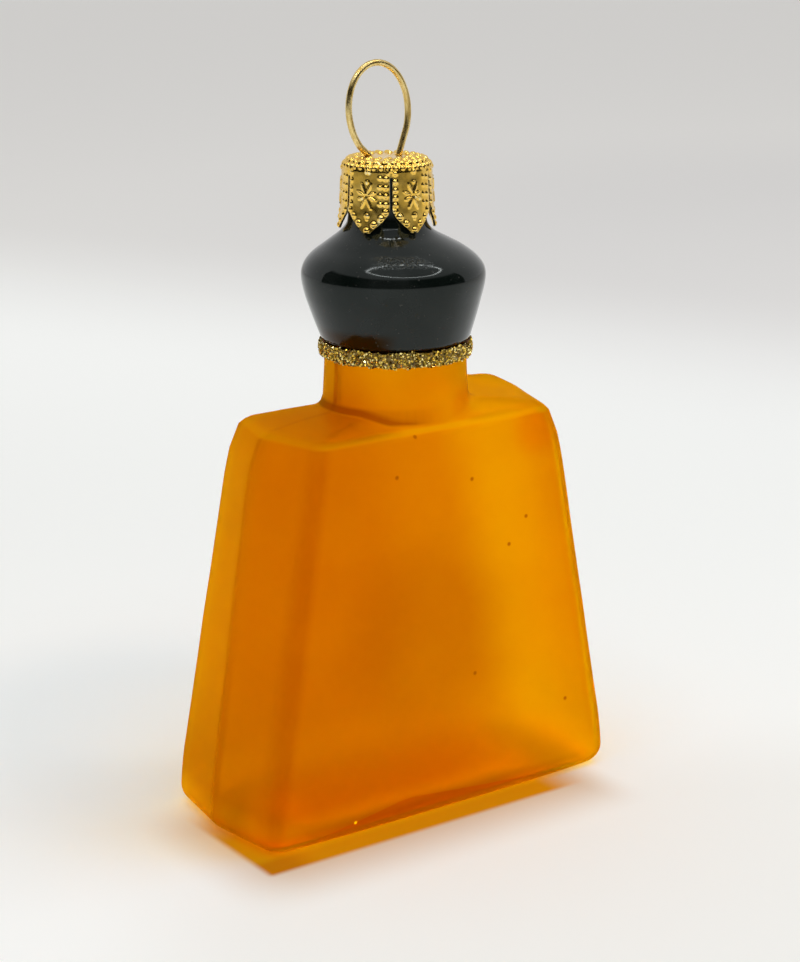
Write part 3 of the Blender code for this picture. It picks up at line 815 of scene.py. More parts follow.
print(f"highest bead {relief.max() / MM:.2f} mm")

# %% [markdown]
# ## From the net to a sheet
#
# The relief moves the outer side of the sheet along its normal, and the inner side stays plain, as
# the press left it under a rubber pad. The petals are bent out a little by hand when the cap is
# pushed on, each by its own amount. Faces in the slits are simply left out, and narrow strips
# close the sheet along every cut.

# %% Build the cap
PETAL_FLARE = 0.18 * MM
FLARE_START = 0.4

below = np.clip((CAP_TOP - row_level) / CAP_HEIGHT - FLARE_START, 0, 1) / (1 - FLARE_START)
petal_bend = np.array([dice.uniform(0, PETAL_FLARE) for _ in range(PETALS)])
petal_of = np.floor(column_angles / PETAL_TURN).astype(int) % PETALS
flare = (below ** 2)[:, None] * petal_bend[petal_of]
net = bmesh.new()


def sheet_side(lift):
    """Vertices of one side of the sheet, lifted along the normal by so much at each point."""
    radius = radii + row_out[:, None] * lift + flare
    level = row_level[:, None] + row_up[:, None] * lift
    x = CAP_AXIS_X + radius * np.cos(column_angles)
    y = radius * np.sin(column_angles)
    return rows_of(net, np.stack((x, y, level), axis=-1))


outside = sheet_side(relief)
inside = sheet_side(np.full(relief.shape, -CAP_SHEET))
block = PETAL_COLUMNS + GAP_COLUMNS
columns = PETALS * block
last_row = len(row_lengths) - 1
slit_row = int(np.searchsorted(CAP_TOP - row_level, SLIT_BELOW_TOP))
for c in range(columns):
    n = (c + 1) % columns
    foot = slit_row if c % block >= PETAL_COLUMNS else last_row
    for r in range(foot):
        net.faces.new((outside[r][c], outside[r + 1][c], outside[r + 1][n], outside[r][n]))
        net.faces.new((inside[r][n], inside[r + 1][n], inside[r + 1][c], inside[r][c]))
    net.faces.new((outside[foot][c], inside[foot][c], inside[foot][n], outside[foot][n]))
for c in range(columns):
    if c % block in (0, PETAL_COLUMNS):
        for r in range(slit_row, last_row):
            net.faces.new((outside[r][c], outside[r + 1][c], inside[r + 1][c], inside[r][c]))
for rows, level in ((outside, CAP_TOP), (inside, CAP_TOP - CAP_SHEET)):
    close_round(net, rows[0], net.verts.new((CAP_AXIS_X, 0, level)))
crown_cap = piece_from(net, "stamped_crown_cap", math.radians(50))
print(len(crown_cap.data.polygons), "faces in the cap, slit from row", slit_row)

# %% [markdown]
# ## Two holes for the wire
#
# Two round holes are pierced through the top beside each other. Here a Boolean does what the punch
# does. Its result is kept as the cap's own mesh and the punch is thrown away, so nothing hidden
# stays behind in the file.

# %% Pierce the cap
WIRE_RADIUS = 0.44 * MM
HOLE_CLEARANCE = 0.3 * MM
HOLE_RADIUS = WIRE_RADIUS + HOLE_CLEARANCE
PUNCH_SIDES = 28
PUNCH_LENGTH = 3 * MM
LEG_SHIFT = 0.45 * MM
LEG_HALF_SPACING = 2.40 * MM
WIRE_PIVOT = CAP_TOP - CAP_SHEET / 2
HANGER_X = CAP_AXIS_X - LEG_SHIFT

net = bmesh.new()
for side in (-1, 1):
    made = bmesh.ops.create_cone(
        net,
        cap_ends=True,
        segments=PUNCH_SIDES,
        radius1=HOLE_RADIUS,
        radius2=HOLE_RADIUS,
        depth=PUNCH_LENGTH,
    )
    place = (HANGER_X + side * LEG_HALF_SPACING, 0, WIRE_PIVOT)
    bmesh.ops.translate(net, verts=made["verts"], vec=place)
punch = piece_from(net, "wire_hole_punch")
cut = crown_cap.modifiers.new("wire_holes", "BOOLEAN")
cut.object = punch
cut.operation = "DIFFERENCE"
cut.solver = "EXACT"
graph = bpy.context.evaluated_depsgraph_get()
pierced = bpy.data.meshes.new_from_object(crown_cap.evaluated_get(graph))
crown_cap.modifiers.clear()
crown_cap.data = pierced
bpy.data.objects.remove(punch, do_unlink=True)
print(f"two holes of {2 * HOLE_RADIUS / MM:.2f} mm, {len(pierced.polygons)} faces now")

# %% [markdown]
# ## The hanger wire
#
# One springy wire makes the loop and, inside the glass, two legs that press against the pike and
# hold the cap. A few points say where it runs, the smooth curve from before goes through them, and
# a small circle is carried along it. A curve object with a bevel gives the same tube. The net of
# rings shows what that bevel does.

# %% Bend the wire
LEG_STRAIGHT = 0.3 * MM
LEG_SPREAD = 0.1 * MM
LOOP_HALF_WIDTH = 4.7 * MM
LOOP_HEIGHT = 12.5 * MM
LOOP_MIDDLE = 6.4 * MM
LOOP_RIGHT_FOOT = math.radians(-30)
LOOP_LEFT_FOOT = math.radians(-40)
LOOP_TILT = math.radians(8)
LOOP_LOWER_SHARE = 1.02
LOOP_POINTS = 33
LEG_LENGTH = 16 * MM
LEG_SHARES = ((0.12, 0.00), (0.35, 0.35), (0.60, 0.80), (0.80, 1.00), (1.00, 0.90))
WIRE_SIDES = 16
WIRE_STEPS = 5

loop = []
for angle in np.linspace(LOOP_RIGHT_FOOT, math.pi - LOOP_LEFT_FOOT, LOOP_POINTS):
    above = LOOP_HEIGHT - LOOP_MIDDLE
    reach = above if math.sin(angle) > 0 else LOOP_MIDDLE * LOOP_LOWER_SHARE
    x = LOOP_HALF_WIDTH * math.cos(angle)
    z = LOOP_MIDDLE + reach * math.sin(angle)
    tilted_x = x * math.cos(LOOP_TILT) - z * math.sin(LOOP_TILT)
    loop.append((tilted_x, x * math.sin(LOOP_TILT) + z * math.cos(LOOP_TILT)))
right_leg = [(LEG_HALF_SPACING, LEG_STRAIGHT), (LEG_HALF_SPACING, -LEG_STRAIGHT)]
for down, out in LEG_SHARES:
    right_leg.append((LEG_HALF_SPACING + LEG_SPREAD * out, -LEG_LENGTH * down))
left_leg = [(-x, z) for x, z in right_leg]
into_loop = np.linspace(right_leg[0], loop[0], 5)[1:-1]
out_of_loop = np.linspace(loop[-1], left_leg[0], 4)[1:-1]
wire_marks = np.vstack((right_leg[::-1], into_loop, loop, out_of_loop, left_leg))
wire_line = smooth_through(wire_marks, WIRE_STEPS)
wire_run = np.gradient(wire_line, axis=0)
wire_run /= np.linalg.norm(wire_run, axis=1)[:, None]

aside, across = circle(all_round(WIRE_SIDES), WIRE_RADIUS).T
wire_rings = []
for (x, z), (run_x, run_z) in zip(wire_line, wire_run):
    ring = (HANGER_X + x - run_z * aside, across, WIRE_PIVOT + z + run_x * aside)
    wire_rings.append(np.column_stack(ring))
net = bmesh.new()
rows = rows_of(net, wire_rings)
join_rings(net, rows)
net.faces.new(rows[0])
net.faces.new(rows[-1][::-1])
hanger_wire = piece_from(net, "bent_hanger_wire")
print(f"wire of {len(wire_line)} points, {len(hanger_wire.data.polygons)} faces")

# %% [markdown]
# ## A helper for finishes
#
# Every finish below is one Principled shader with small nodes in front of it. The nodes answer the
# question "where on the piece is this point, and what happened there?". The object's own
# coordinates give the place, noise gives the unevenness, and soft steps turn both into masks. The
# helper only shortens the making of those nodes, which are the same ones the Add menu offers. Its
# first half, the board, also serves the world, which has nodes but no shader.

# %% Nodes with fewer words
class Board:
    """A board of nodes that is being wired, with short ways to wire it."""

    def __init__(self, tree):
        self.nodes = tree.nodes
        self.links = tree.links

    def feed(self, socket, value):
        """Give a socket a number, a colour, or the output of another node."""
        if isinstance(value, bpy.types.NodeSocket):
            self.links.new(value, socket)
        else:
            socket.default_value = value

    def work_out(self, operation, *values):
        """A Math node."""
        made = self.nodes.new("ShaderNodeMath")
        made.operation = operation
        for socket, value in zip(made.inputs, values):
            self.feed(socket, value)
        return made.outputs[0]


class Finish(Board):
    """A material that is being made, with short ways to add the nodes every finish needs."""

    def __init__(self, name, rough, **sockets):
        self.material = bpy.data.materials.new(name)
        self.material.use_nodes = True
        super().__init__(self.material.node_tree)
        self.shader = self.nodes["Principled BSDF"]
        self.use("Roughness", rough)
        for socket, value in sockets.items():
            self.use(socket.replace("_", " "), value)
        self.place = self.nodes.new("ShaderNodeTexCoord").outputs["Object"]
        split = self.nodes.new("ShaderNodeSeparateXYZ")
        self.links.new(self.place, split.inputs[0])
        self.x, self.y, self.z = split.outputs

    def use(self, socket, value):
        """Give a socket of the shader a number, a colour or an output."""
        self.feed(self.shader.inputs[socket], value)

    def step(self, value, low, high, to_low=0.0, to_high=1.0):
        """A soft step: from to_low where the value is at low, to to_high where it is at high."""
        made = self.nodes.new("ShaderNodeMapRange")
        made.interpolation_type = "SMOOTHSTEP"
        for socket, number in zip(made.inputs, (value, low, high, to_low, to_high)):
            self.feed(socket, number)
        return made.outputs["Result"]

    def both(self, *masks):
        """Where all of these masks are."""
        result = masks[0]
        for mask in masks[1:]:
            result = self.work_out("MULTIPLY", result, mask)
        return result

    def zone(self, **edges):
        """Where the point is past a soft edge along every axis named."""
        axes = {"x": self.x, "y": self.y, "z": self.z}
        return self.both(*(self.step(axes[axis], *edge) for axis, edge in edges.items()))

    def line(self, value, middle, half_width):
        """A soft line where a value is near its middle."""
        away = self.work_out("ABSOLUTE", self.work_out("SUBTRACT", value, middle))
        return self.step(away, half_width, half_width * 0.2)

    def spot(self, centre, radius):
        """A soft spot round a place, both in millimetres."""
        made = self.nodes.new("ShaderNodeVectorMath")
        made.operation = "DISTANCE"
        self.feed(made.inputs[0], self.place)
        self.feed(made.inputs[1], Vector(centre) * MM)
        return self.step(made.outputs["Value"], radius * MM, radius * 0.35 * MM)

    def noise(self, size, detail=3.0, stretch=(1, 1, 1)):
        """Noise whose blotches are about so many millimetres wide."""
        made = self.nodes.new("ShaderNodeTexNoise")
        mapping = self.nodes.new("ShaderNodeMapping")
        self.feed(mapping.inputs["Vector"], self.place)
        self.feed(mapping.inputs["Scale"], stretch)
        self.feed(made.inputs["Vector"], mapping.outputs["Vector"])
        self.feed(made.inputs["Scale"], 1 / (size * MM))
        self.feed(made.inputs["Detail"], detail)
        return made.outputs["Fac"]

    def blend(self, share, under, over, mode="MIX"):
        """One colour over another by a share."""
        made = self.nodes.new("ShaderNodeMix")
        made.data_type = "RGBA"
        made.blend_type = mode
        for number, value in ((0, share), (6, under), (7, over)):
            self.feed(made.inputs[number], value)
        return made.outputs[2]

    def tint(self, colour, *masks_and_tints):
        """A colour multiplied by tints, each where its mask is."""
        for mask, tint in masks_and_tints:
            colour = self.blend(mask, colour, tint, "MULTIPLY")
        return colour

    def bump(self, heights, depth):
        """Bump from a list of height outputs, each with its strength, at a depth in millimetres."""
        normal = None
        for height, strength in heights:
            made = self.nodes.new("ShaderNodeBump")
            self.feed(made.inputs["Strength"], strength)
            self.feed(made.inputs["Distance"], depth * MM)
            self.feed(made.inputs["Height"], height)
            if normal is not None:
                self.feed(made.inputs["Normal"], normal)
            normal = made.outputs["Normal"]
        self.use("Normal", normal)

    def cover(self, *pieces):
        """Put this finish on pieces, in place of any other."""
        for piece in pieces:
            piece.data.materials.clear()
            piece.data.materials.append(self.material)


print("ways to make nodes:", ", ".join(way for way in dir(Finish) if not way.startswith("_")))

# %% [markdown]
# ## Frosted amber glass
#
# The glass is etched matt and stained amber. Light goes through it, and the frost spreads that
# light so wide that no clear image comes through, which a high transmission with a high roughness
# does. A thin tinted coat over it keeps the sheen of the frost amber as well. The amber itself
# changes slowly and unevenly, which a large noise gives. Over it comes painted light: the right
# part, the neck and the back of the left end are painted paler and yellower, where more light
# comes through, and low on the foot the amber is painted lighter on the right and at the bottom
# edge and darker on the left. These are soft steps along the piece's own axes. A few wide spots
# on the front are darker.

# %% Stain and painted light of the glass
DEEP_AMBER = (0.83, 0.45, 0.001, 1)
PALE_LIT_AMBER = (1.0, 0.72, 0.001, 1)
FOOT_LEFT_SHADED_AMBER = (0.775, 0.47, 0.001, 1)
FOOT_RIGHT_LIT_AMBER = (0.95, 0.74, 0.001, 1)
FOOT_EDGE_LIT_AMBER = (1.0, 0.78, 0.001, 1)
RIGHT_PART_AT_TABLE = 12.8 * MM
RIGHT_PART_SLOPE = -0.19
RIGHT_PART_EDGE = (-5 * MM, 6 * MM)
CLOUD_SIZE = 11
CLOUD_DEPTH = 0.12
NECK_START = (55.5 * MM, 60 * MM, 0, 0.50)
LEFT_END = (-15 * MM, -22 * MM)
BACK_HALF = (-1 * MM, 2 * MM, 0, 0.6)
FOOT_LEFT_TO_RIGHT = (-2 * MM, 16 * MM)
FOOT_ZONE = (24 * MM, 4 * MM)
FOOT_EDGE = (6 * MM, 3 * MM, 0, 0.75)
DARKER_SPOTS = (
    ((-2, -12, 26), 19, (0.85, 0.81, 0.9, 1)),
    ((16.5, -11, 52.3), 5.5, (0.98, 0.78, 0.9, 1)),
    ((5.5, -9.5, 56.5), 4.0, (0.95, 0.78, 0.9, 1)),
)

glass = Finish(
    "frosted_amber_glass",
    0.42,
    IOR=1.30,
    Transmission_Weight=0.92,
    Specular_Tint=(1.0, 0.55, 0.05, 1),
    Coat_Weight=1.0,
    Coat_Roughness=0.5,
    Coat_IOR=1.02,
    Coat_Tint=(1.0, 0.94, 0.02, 1),
)
# Painted light: the right part, the neck and the back of the left end are paler where more light comes
# through. The noise is the glass's own uneven colour.
right_part_x = glass.work_out("MULTIPLY_ADD", glass.z, RIGHT_PART_SLOPE, RIGHT_PART_AT_TABLE)
lit_right_part = glass.step(glass.work_out("SUBTRACT", glass.x, right_part_x), *RIGHT_PART_EDGE)
lit_left_back = glass.zone(x=LEFT_END, y=BACK_HALF)
thinner_and_lit = glass.step(glass.noise(CLOUD_SIZE), 0.3, 0.7, -CLOUD_DEPTH, CLOUD_DEPTH)
for mask in (lit_right_part, glass.zone(z=NECK_START), lit_left_back):
    thinner_and_lit = glass.work_out("ADD", thinner_and_lit, mask)
stain_and_light = glass.blend(glass.work_out("MINIMUM", thinner_and_lit, 1.0), DEEP_AMBER, PALE_LIT_AMBER)
# Painted light low on the foot: lighter on the right and at the bottom edge, darker on the left.
foot_painted_light = glass.blend(glass.zone(x=FOOT_LEFT_TO_RIGHT), FOOT_LEFT_SHADED_AMBER, FOOT_RIGHT_LIT_AMBER)
stain_and_light = glass.blend(glass.zone(z=FOOT_ZONE), stain_and_light, foot_painted_light)
stain_and_light = glass.blend(glass.zone(z=FOOT_EDGE), stain_and_light, FOOT_EDGE_LIT_AMBER)
for centre, radius, tint in DARKER_SPOTS:
    stain_and_light = glass.tint(stain_and_light, (glass.spot(centre, radius), tint))
print(len(glass.nodes), "nodes for the stain")

# %% [markdown]
# ### Painted shade and highlight along the folds
#
# The folds of the glass get painted light. A soft darker line of painted shade runs beside the two
# front edges, over the rim of the punt where the foot turns down to the table, and at the left
# corner of the foot. A paler line along the rolled edge of the shoulder is a painted highlight.
# The mould's seam is a darker line of its own. Each line is a thin mask at a known place, and it
# multiplies the amber colour or, for the highlight, replaces it. The masks follow the same numbers
# as the shape, so a line stays on its edge.

# %% Painted shade and highlight along the folds
FRONT_FACE = (-8 * MM, -10 * MM)
CORNER_SLOPE = (BASE_HALF_FACE - TOP_HALF_FACE) / BODY_HEIGHT
LEFT_CREASE, LEFT_CREASE_HALF_WIDTH = 1.1 * MM, 2.1 * MM
RIGHT_CREASE, RIGHT_CREASE_HALF_WIDTH = -1.6 * MM, 2.2 * MM
ROLLED_EDGE_HEIGHT, ROLLED_EDGE_HALF_WIDTH = 54.4 * MM, 0.6 * MM
ROLLED_EDGE_HIGHLIGHT = (1.0, 0.76, 0.005, 1)
SEAM_HALF_WIDTH = 0.7 * MM
SEAM_SIDE = (-8 * MM, -9 * MM)
PUNT_RISE = (0.16, 4.65 * MM)
PUNT_FALL = (-0.10, 2.85 * MM)
PUNT_CREST_ROUND = 0.8 * MM
PUNT_LINE = (-0.1 * MM, 0.15 * MM)
FOOT_CORNER_HEIGHT = (1.3 * MM, 0.5 * MM)
FOOT_CORNER_SIDE = (-26.5 * MM, -28 * MM)

on_front = glass.zone(y=FRONT_FACE)
corner_x = glass.work_out("MULTIPLY_ADD", glass.z, CORNER_SLOPE, -BASE_HALF_FACE)
past_left = glass.work_out("SUBTRACT", glass.x, corner_x)
past_right = glass.work_out("ADD", glass.x, corner_x)
# Painted shade beside the two front edges.
left_crease_shade = glass.both(on_front, glass.line(past_left, LEFT_CREASE, LEFT_CREASE_HALF_WIDTH))
right_crease_shade = glass.both(on_front, glass.line(past_right, RIGHT_CREASE, RIGHT_CREASE_HALF_WIDTH))
seam = glass.both(glass.line(glass.y, 0, SEAM_HALF_WIDTH), glass.zone(x=SEAM_SIDE))
rise, fall = (glass.work_out("MULTIPLY_ADD", glass.x, *slope) for slope in (PUNT_RISE, PUNT_FALL))
crest = glass.work_out("SMOOTH_MIN", rise, fall, PUNT_CREST_ROUND)
# Painted shade over the rim of the punt, where the foot turns down to the table.
punt_rim_shade = glass.step(glass.work_out("SUBTRACT", crest, glass.z), *PUNT_LINE)
# Painted shade at the front edges, over the punt's rim and at the left corner of the foot. The seam
# line is the glass's own.
stain_and_light = glass.tint(
    stain_and_light,
    (left_crease_shade, (0.86, 0.76, 0.9, 1)),
    (right_crease_shade, (0.95, 0.86, 0.9, 1)),
    (seam, (0.90, 0.80, 0.9, 1)),
    (glass.both(on_front, punt_rim_shade), (0.96, 0.64, 0.9, 1)),
    (glass.zone(x=FOOT_CORNER_SIDE, z=FOOT_CORNER_HEIGHT), (0.80, 0.55, 0.9, 1)),
)
# Painted highlight along the rolled edge of the shoulder, at the front and at the left end.
rolled_edge_highlight = glass.line(glass.z, ROLLED_EDGE_HEIGHT, ROLLED_EDGE_HALF_WIDTH)
for side in (on_front, glass.zone(x=LEFT_END)):
    stain_and_light = glass.blend(glass.both(rolled_edge_highlight, side), stain_and_light, ROLLED_EDGE_HIGHLIGHT)
print(f"the corners lean in by {CORNER_SLOPE:.4f} of the height")

# %% [markdown]
# ### Small marks in the glass
#
# A blown piece is never clean. The seam runs on as a short brown stroke up the neck, and a few dark
# specks are scattered over the front. They are spots of a fraction of a millimetre, far too small
# for shapes of their own. The hollow where the neck meets the shoulder gets a dark line of painted
# shade.
# Under the lacquer the glass is made dark, because no light comes out of it there.

# %% Small marks
SPECK_RADIUS = 0.42
SPECKS = (
    (4.85, -11.08, 46.7),
    (-7.55, -11.0, 48.85),
    (-4.22, -10.44, 53.82),
    (11.12, -11.43, 36.42),
    (14.14, -11.31, 39.9),
    (4.97, -12.02, 18.96),
    (21.07, -12.3, 11.67),
)
SPECK_BROWN = (0.35, 0.12, 0.001, 1)
HOLLOW_RADIUS, HOLLOW_HALF_WIDTH = NECK_RADIUS + 0.35 * MM, 0.55 * MM
HOLLOW_TOP = (57.6 * MM, 56.8 * MM)
HOLLOW_FOOT = (54.9 * MM, 55.4 * MM)
HOLLOW_END = (1 * MM, -3 * MM)
NECK_SEAM_FOOT = (56.5 * MM, 57.5 * MM)
LACQUER_EDGE = (NECK_TOP - 0.9 * MM, NECK_TOP - 0.7 * MM)
UNDER_LACQUER = (0.004, 0.002, 0.001, 1)

across = glass.work_out("MULTIPLY_ADD", glass.x, glass.x, glass.both(glass.y, glass.y))
# Painted shade in the hollow where the neck meets the shoulder.
neck_hollow_shade = glass.both(
    glass.line(glass.work_out("SQRT", across), HOLLOW_RADIUS, HOLLOW_HALF_WIDTH),
    glass.zone(z=HOLLOW_TOP),
    glass.zone(x=HOLLOW_END, z=HOLLOW_FOOT),
)
neck_seam = glass.both(seam, glass.zone(z=NECK_SEAM_FOOT))
stain_and_light = glass.tint(stain_and_light, (neck_hollow_shade, (0.34, 0.17, 0.9, 1)), (neck_seam, (0.60, 0.38, 0.9, 1)))
for centre in SPECKS:
    stain_and_light = glass.blend(glass.spot(centre, SPECK_RADIUS), stain_and_light, SPECK_BROWN)
stain_and_light = glass.blend(glass.zone(z=LACQUER_EDGE), stain_and_light, UNDER_LACQUER)
glass.use("Base Color", stain_and_light)
print(len(SPECKS), "specks")

# %% [markdown]
# ### Glow, frost and shadow of the glass
#
# Light wanders about between the walls before it comes out, more often than a renderer follows it.
# A faint orange painted glow makes up for that. It is stronger at the back of the left end and in
# two spots low at the corners of the foot, and brightest in one tiny painted glint at the front of
# the foot. The frost is a fine bump with an uneven roughness over it.
#
# Light that goes through real glass also colours the shadow. A renderer with plain shadow rays
# leaves that shadow black, so for those rays alone the glass is exchanged for a tinted clear film.

# %% Glow, frost and shadow
INNER_AMBER = (1.0, 0.20, 0.001, 1)
INNER_GLOW = (NECK_TOP - 0.8 * MM, NECK_TOP - 1.2 * MM, 0, 0.026)
BACK_GLOW = 0.012
FOOT_GLOW_SPOTS = (((15.5, -12, 4.5), 7.5, 0.028), ((-28, -11.5, 3.5), 7.5, 0.07))
GLINT_PLACE = (-15.55, -12.58, 2.08)
GLINT_RADIUS = 0.34
GLINT_GLOW = 0.9
GLINT_COLOUR = (1.0, 0.75, 0.45, 1)
FROST = (0.38, 0.46)
SHADOW_AMBER = (0.90, 0.84, 0.35, 1)

# Painted light: a faint glow over the glass, stronger in a few spots, and one tiny painted glint.
glint = glass.spot(GLINT_PLACE, GLINT_RADIUS)
glow = glass.zone(z=INNER_GLOW)
glows = [(lit_left_back, BACK_GLOW), (glint, GLINT_GLOW)]
glows += [(glass.spot(centre, radius), more) for centre, radius, more in FOOT_GLOW_SPOTS]
for mask, more in glows:
    glow = glass.work_out("MULTIPLY_ADD", mask, more, glow)
glass.use("Emission Strength", glow)
glass.use("Emission Color", glass.blend(glint, INNER_AMBER, GLINT_COLOUR))
glass.use("Roughness", glass.step(glass.noise(6), 0.3, 0.7, *FROST))
glass.bump([(glass.noise(0.5, 2), 0.10), (glass.noise(5, 2), 0.25)], 0.1)

ray = glass.nodes.new("ShaderNodeLightPath")
film = glass.nodes.new("ShaderNodeBsdfTransparent")
film.inputs["Color"].default_value = SHADOW_AMBER
choice = glass.nodes.new("ShaderNodeMixShader")
sources = (ray.outputs["Is Shadow Ray"], glass.shader.outputs["BSDF"], film.outputs["BSDF"])
for socket, source in zip(choice.inputs, sources):
    glass.links.new(source, socket)
glass.links.new(choice.outputs[0], glass.nodes["Material Output"].inputs["Surface"])
glass.cover(amber_body)
print(len(glass.nodes), "nodes in the glass")

# %% [markdown]
# ## Black lacquer
#
# A dipped coat is thick, glossy and never flawless. It has slow waves from running down, a few
# grains of dust under it and a haze of handling. Low down on the left it ran thin, and there the
# amber glass makes the black look brown.

# %% Finish of the lacquer
LACQUER_BLACK = (0.003, 0.005, 0.004, 1)
LACQUER_HAZE = (0.009, 0.011, 0.010, 1)
THIN_BROWN = (0.020, 0.009, 0.001, 1)
DUST_GREY = (0.035, 0.034, 0.030, 1)
THIN_HEIGHT = (NECK_TOP + 2.9 * MM, NECK_TOP + 1.4 * MM)
THIN_SIDE = (-5.5 * MM, -8.0 * MM)
SPARKLE_HEIGHT, SPARKLE_HALF_HEIGHT = 77.0 * MM, 0.9 * MM
SPARKLE_MIDDLE, SPARKLE_HALF_LENGTH = -5.2 * MM, 4.2 * MM
SPARKLE_FRONT = (-5 * MM, -6 * MM)

lacquer = Finish("black_lacquer", 0.08, Specular_IOR_Level=0.31)
thin_place = lacquer.zone(x=THIN_SIDE, z=THIN_HEIGHT)
haze = lacquer.step(lacquer.noise(7), 0.35, 0.70)
dust = lacquer.step(lacquer.noise(0.45, 1), 0.70, 0.78)
colour = lacquer.blend(haze, LACQUER_BLACK, LACQUER_HAZE)
colour = lacquer.blend(thin_place, colour, THIN_BROWN)
lacquer.use("Base Color", lacquer.blend(dust, colour, DUST_GREY))
lacquer.use("Specular Tint", lacquer.blend(thin_place, (0.92, 1, 0.98, 1), (0.35, 0.15, 0.03, 1)))
rubbed = lacquer.step(lacquer.noise(3), 0.35, 0.75, 0.05, 0.13)
sparkle = lacquer.both(
    lacquer.line(lacquer.z, SPARKLE_HEIGHT, SPARKLE_HALF_HEIGHT),
    lacquer.line(lacquer.x, SPARKLE_MIDDLE, SPARKLE_HALF_LENGTH),
    lacquer.zone(y=SPARKLE_FRONT),
    lacquer.step(lacquer.noise(0.28, 2), 0.42, 0.56),
)
for mask, more in ((dust, 0.3), (sparkle, 0.32)):
    rubbed = lacquer.work_out("MULTIPLY_ADD", mask, more, rubbed)
lacquer.use("Roughness", rubbed)
lacquer.bump([(lacquer.noise(6, 1), 0.45), (lacquer.noise(1.3, 2), 0.06), (sparkle, 0.40)], 0.1)
lacquer.cover(black_lacquer)
print(len(lacquer.nodes), "nodes in the lacquer")

# %% [markdown]
# ## Glitter and glue
#
# Each flake has a number between 0 and 1 from the dice that placed it. The number picks its gold,
# from brown over yellow to nearly white, and also how sharply it mirrors. The glue between the
# flakes is painted dark, as painted shade in the gaps between them.

# %% Finish of the glitter
FLAKE_DARK = (0.13, 0.08, 0.01, 1)
FLAKE_GOLD = (0.90, 0.62, 0.09, 1)
FLAKE_BRIGHT = (1.0, 0.84, 0.34, 1)
GLUE_GAP_SHADE = (0.05, 0.030, 0.004, 1)
GLUE_GOLD = (0.42, 0.27, 0.05, 1)

glitter = Finish("gold_glitter", 0.25, Metallic=1.0)
tone_of = glitter.nodes.new("ShaderNodeAttribute")
tone_of.attribute_name = "flake_tone"
shade = tone_of.outputs["Fac"]
colour = glitter.blend(glitter.step(shade, 0.05, 0.45), FLAKE_DARK, FLAKE_GOLD)
glitter.use("Base Color", glitter.blend(glitter.step(shade, 0.55, 0.95), colour, FLAKE_BRIGHT))
glitter.use("Roughness", glitter.step(shade, 0.0, 1.0, 0.40, 0.12))
glitter.bump([(glitter.noise(0.08, 1), 0.15)], 0.02)
glitter.cover(glitter_flakes)

glue = Finish("glitter_glue", 0.35)
# Painted shade: the glue is dark where it shows in the gaps between the flakes.
glue.use("Base Color", glue.blend(glue.noise(0.3), GLUE_GAP_SHADE, GLUE_GOLD))
glue.use("Roughness", glue.step(glue.noise(0.6), 0.3, 0.7, 0.25, 0.5))
glue.bump([(glue.noise(0.25, 2), 0.8)], 0.1)
glue.cover(glue_ring)
print(len(glitter.nodes), "nodes in the flakes,", len(glue.nodes), "in the glue")

# %% [markdown]
# ## Stamped brass and brass wire
#
# The cap is brass with a gold wash. The top of each bead is painted paler as a painted highlight,
# and the low places between the beads darker as painted shade. Blender's Pointiness tells high from
# low on a dense mesh, so that painted light follows the pattern by itself. The wire is drawn
# through a die, which leaves fine lines along it and a harder shine.

# %% Finish of the cap and the wire
BRASS_DEEP = (0.92, 0.57, 0.09, 1)
BRASS_LIGHT = (0.98, 0.66, 0.15, 1)
BRASS_HOLLOW_SHADE = (0.58, 0.32, 0.05, 1)
BRASS_TOP_HIGHLIGHT = (1.0, 0.84, 0.40, 1)
WIRE_DARK = (0.62, 0.42, 0.12, 1)
WIRE_GOLD = (0.90, 0.70, 0.30, 1)

brass = Finish("stamped_brass", 0.25, Metallic=1.0)
pointed = brass.nodes.new("ShaderNodeNewGeometry").outputs["Pointiness"]
# Painted shade between the beads and a painted highlight on top of each bead, found by Pointiness. Both
# masks also change the roughness.
hollow_shade = brass.step(pointed, 0.48, 0.40)
top_highlight = brass.step(pointed, 0.52, 0.60)
colour = brass.blend(brass.step(brass.noise(1.6), 0.35, 0.70), BRASS_DEEP, BRASS_LIGHT)
colour = brass.blend(hollow_shade, colour, BRASS_HOLLOW_SHADE)
brass.use("Base Color", brass.blend(top_highlight, colour, BRASS_TOP_HIGHLIGHT))
worn = brass.step(brass.noise(0.9), 0.3, 0.7, 0.14, 0.25)
for mask, more in ((top_highlight, 0.08), (hollow_shade, 0.2)):
    worn = brass.work_out("MULTIPLY_ADD", mask, more, worn)
brass.use("Roughness", worn)
brass.bump([(brass.noise(2.6, 1), 0.45)], 0.12)
brass.cover(crown_cap)

wire = Finish("brass_wire", 0.18, Metallic=1.0)
drawn = wire.noise(0.9, 3, (1.0, 6.0, 0.5))
wire.use("Base Color", wire.blend(wire.step(drawn, 0.35, 0.65), WIRE_DARK, WIRE_GOLD))
wire.use("Roughness", wire.step(wire.noise(1.2), 0.3, 0.7, 0.24, 0.36))
wire.bump([(drawn, 0.12)], 0.03)
wire.cover(hanger_wire)
print(len(brass.nodes), "nodes in the cap,", len(wire.nodes), "in the wire")

# %% [markdown]
# ## What rides on what
#
# The object can move: the cap lifts off with its wire, and the loop leans in its holes. Each piece
# says which body it rides on, and which node of the plain model it stands in for. The lacquer and
# the glitter belong to the glass.

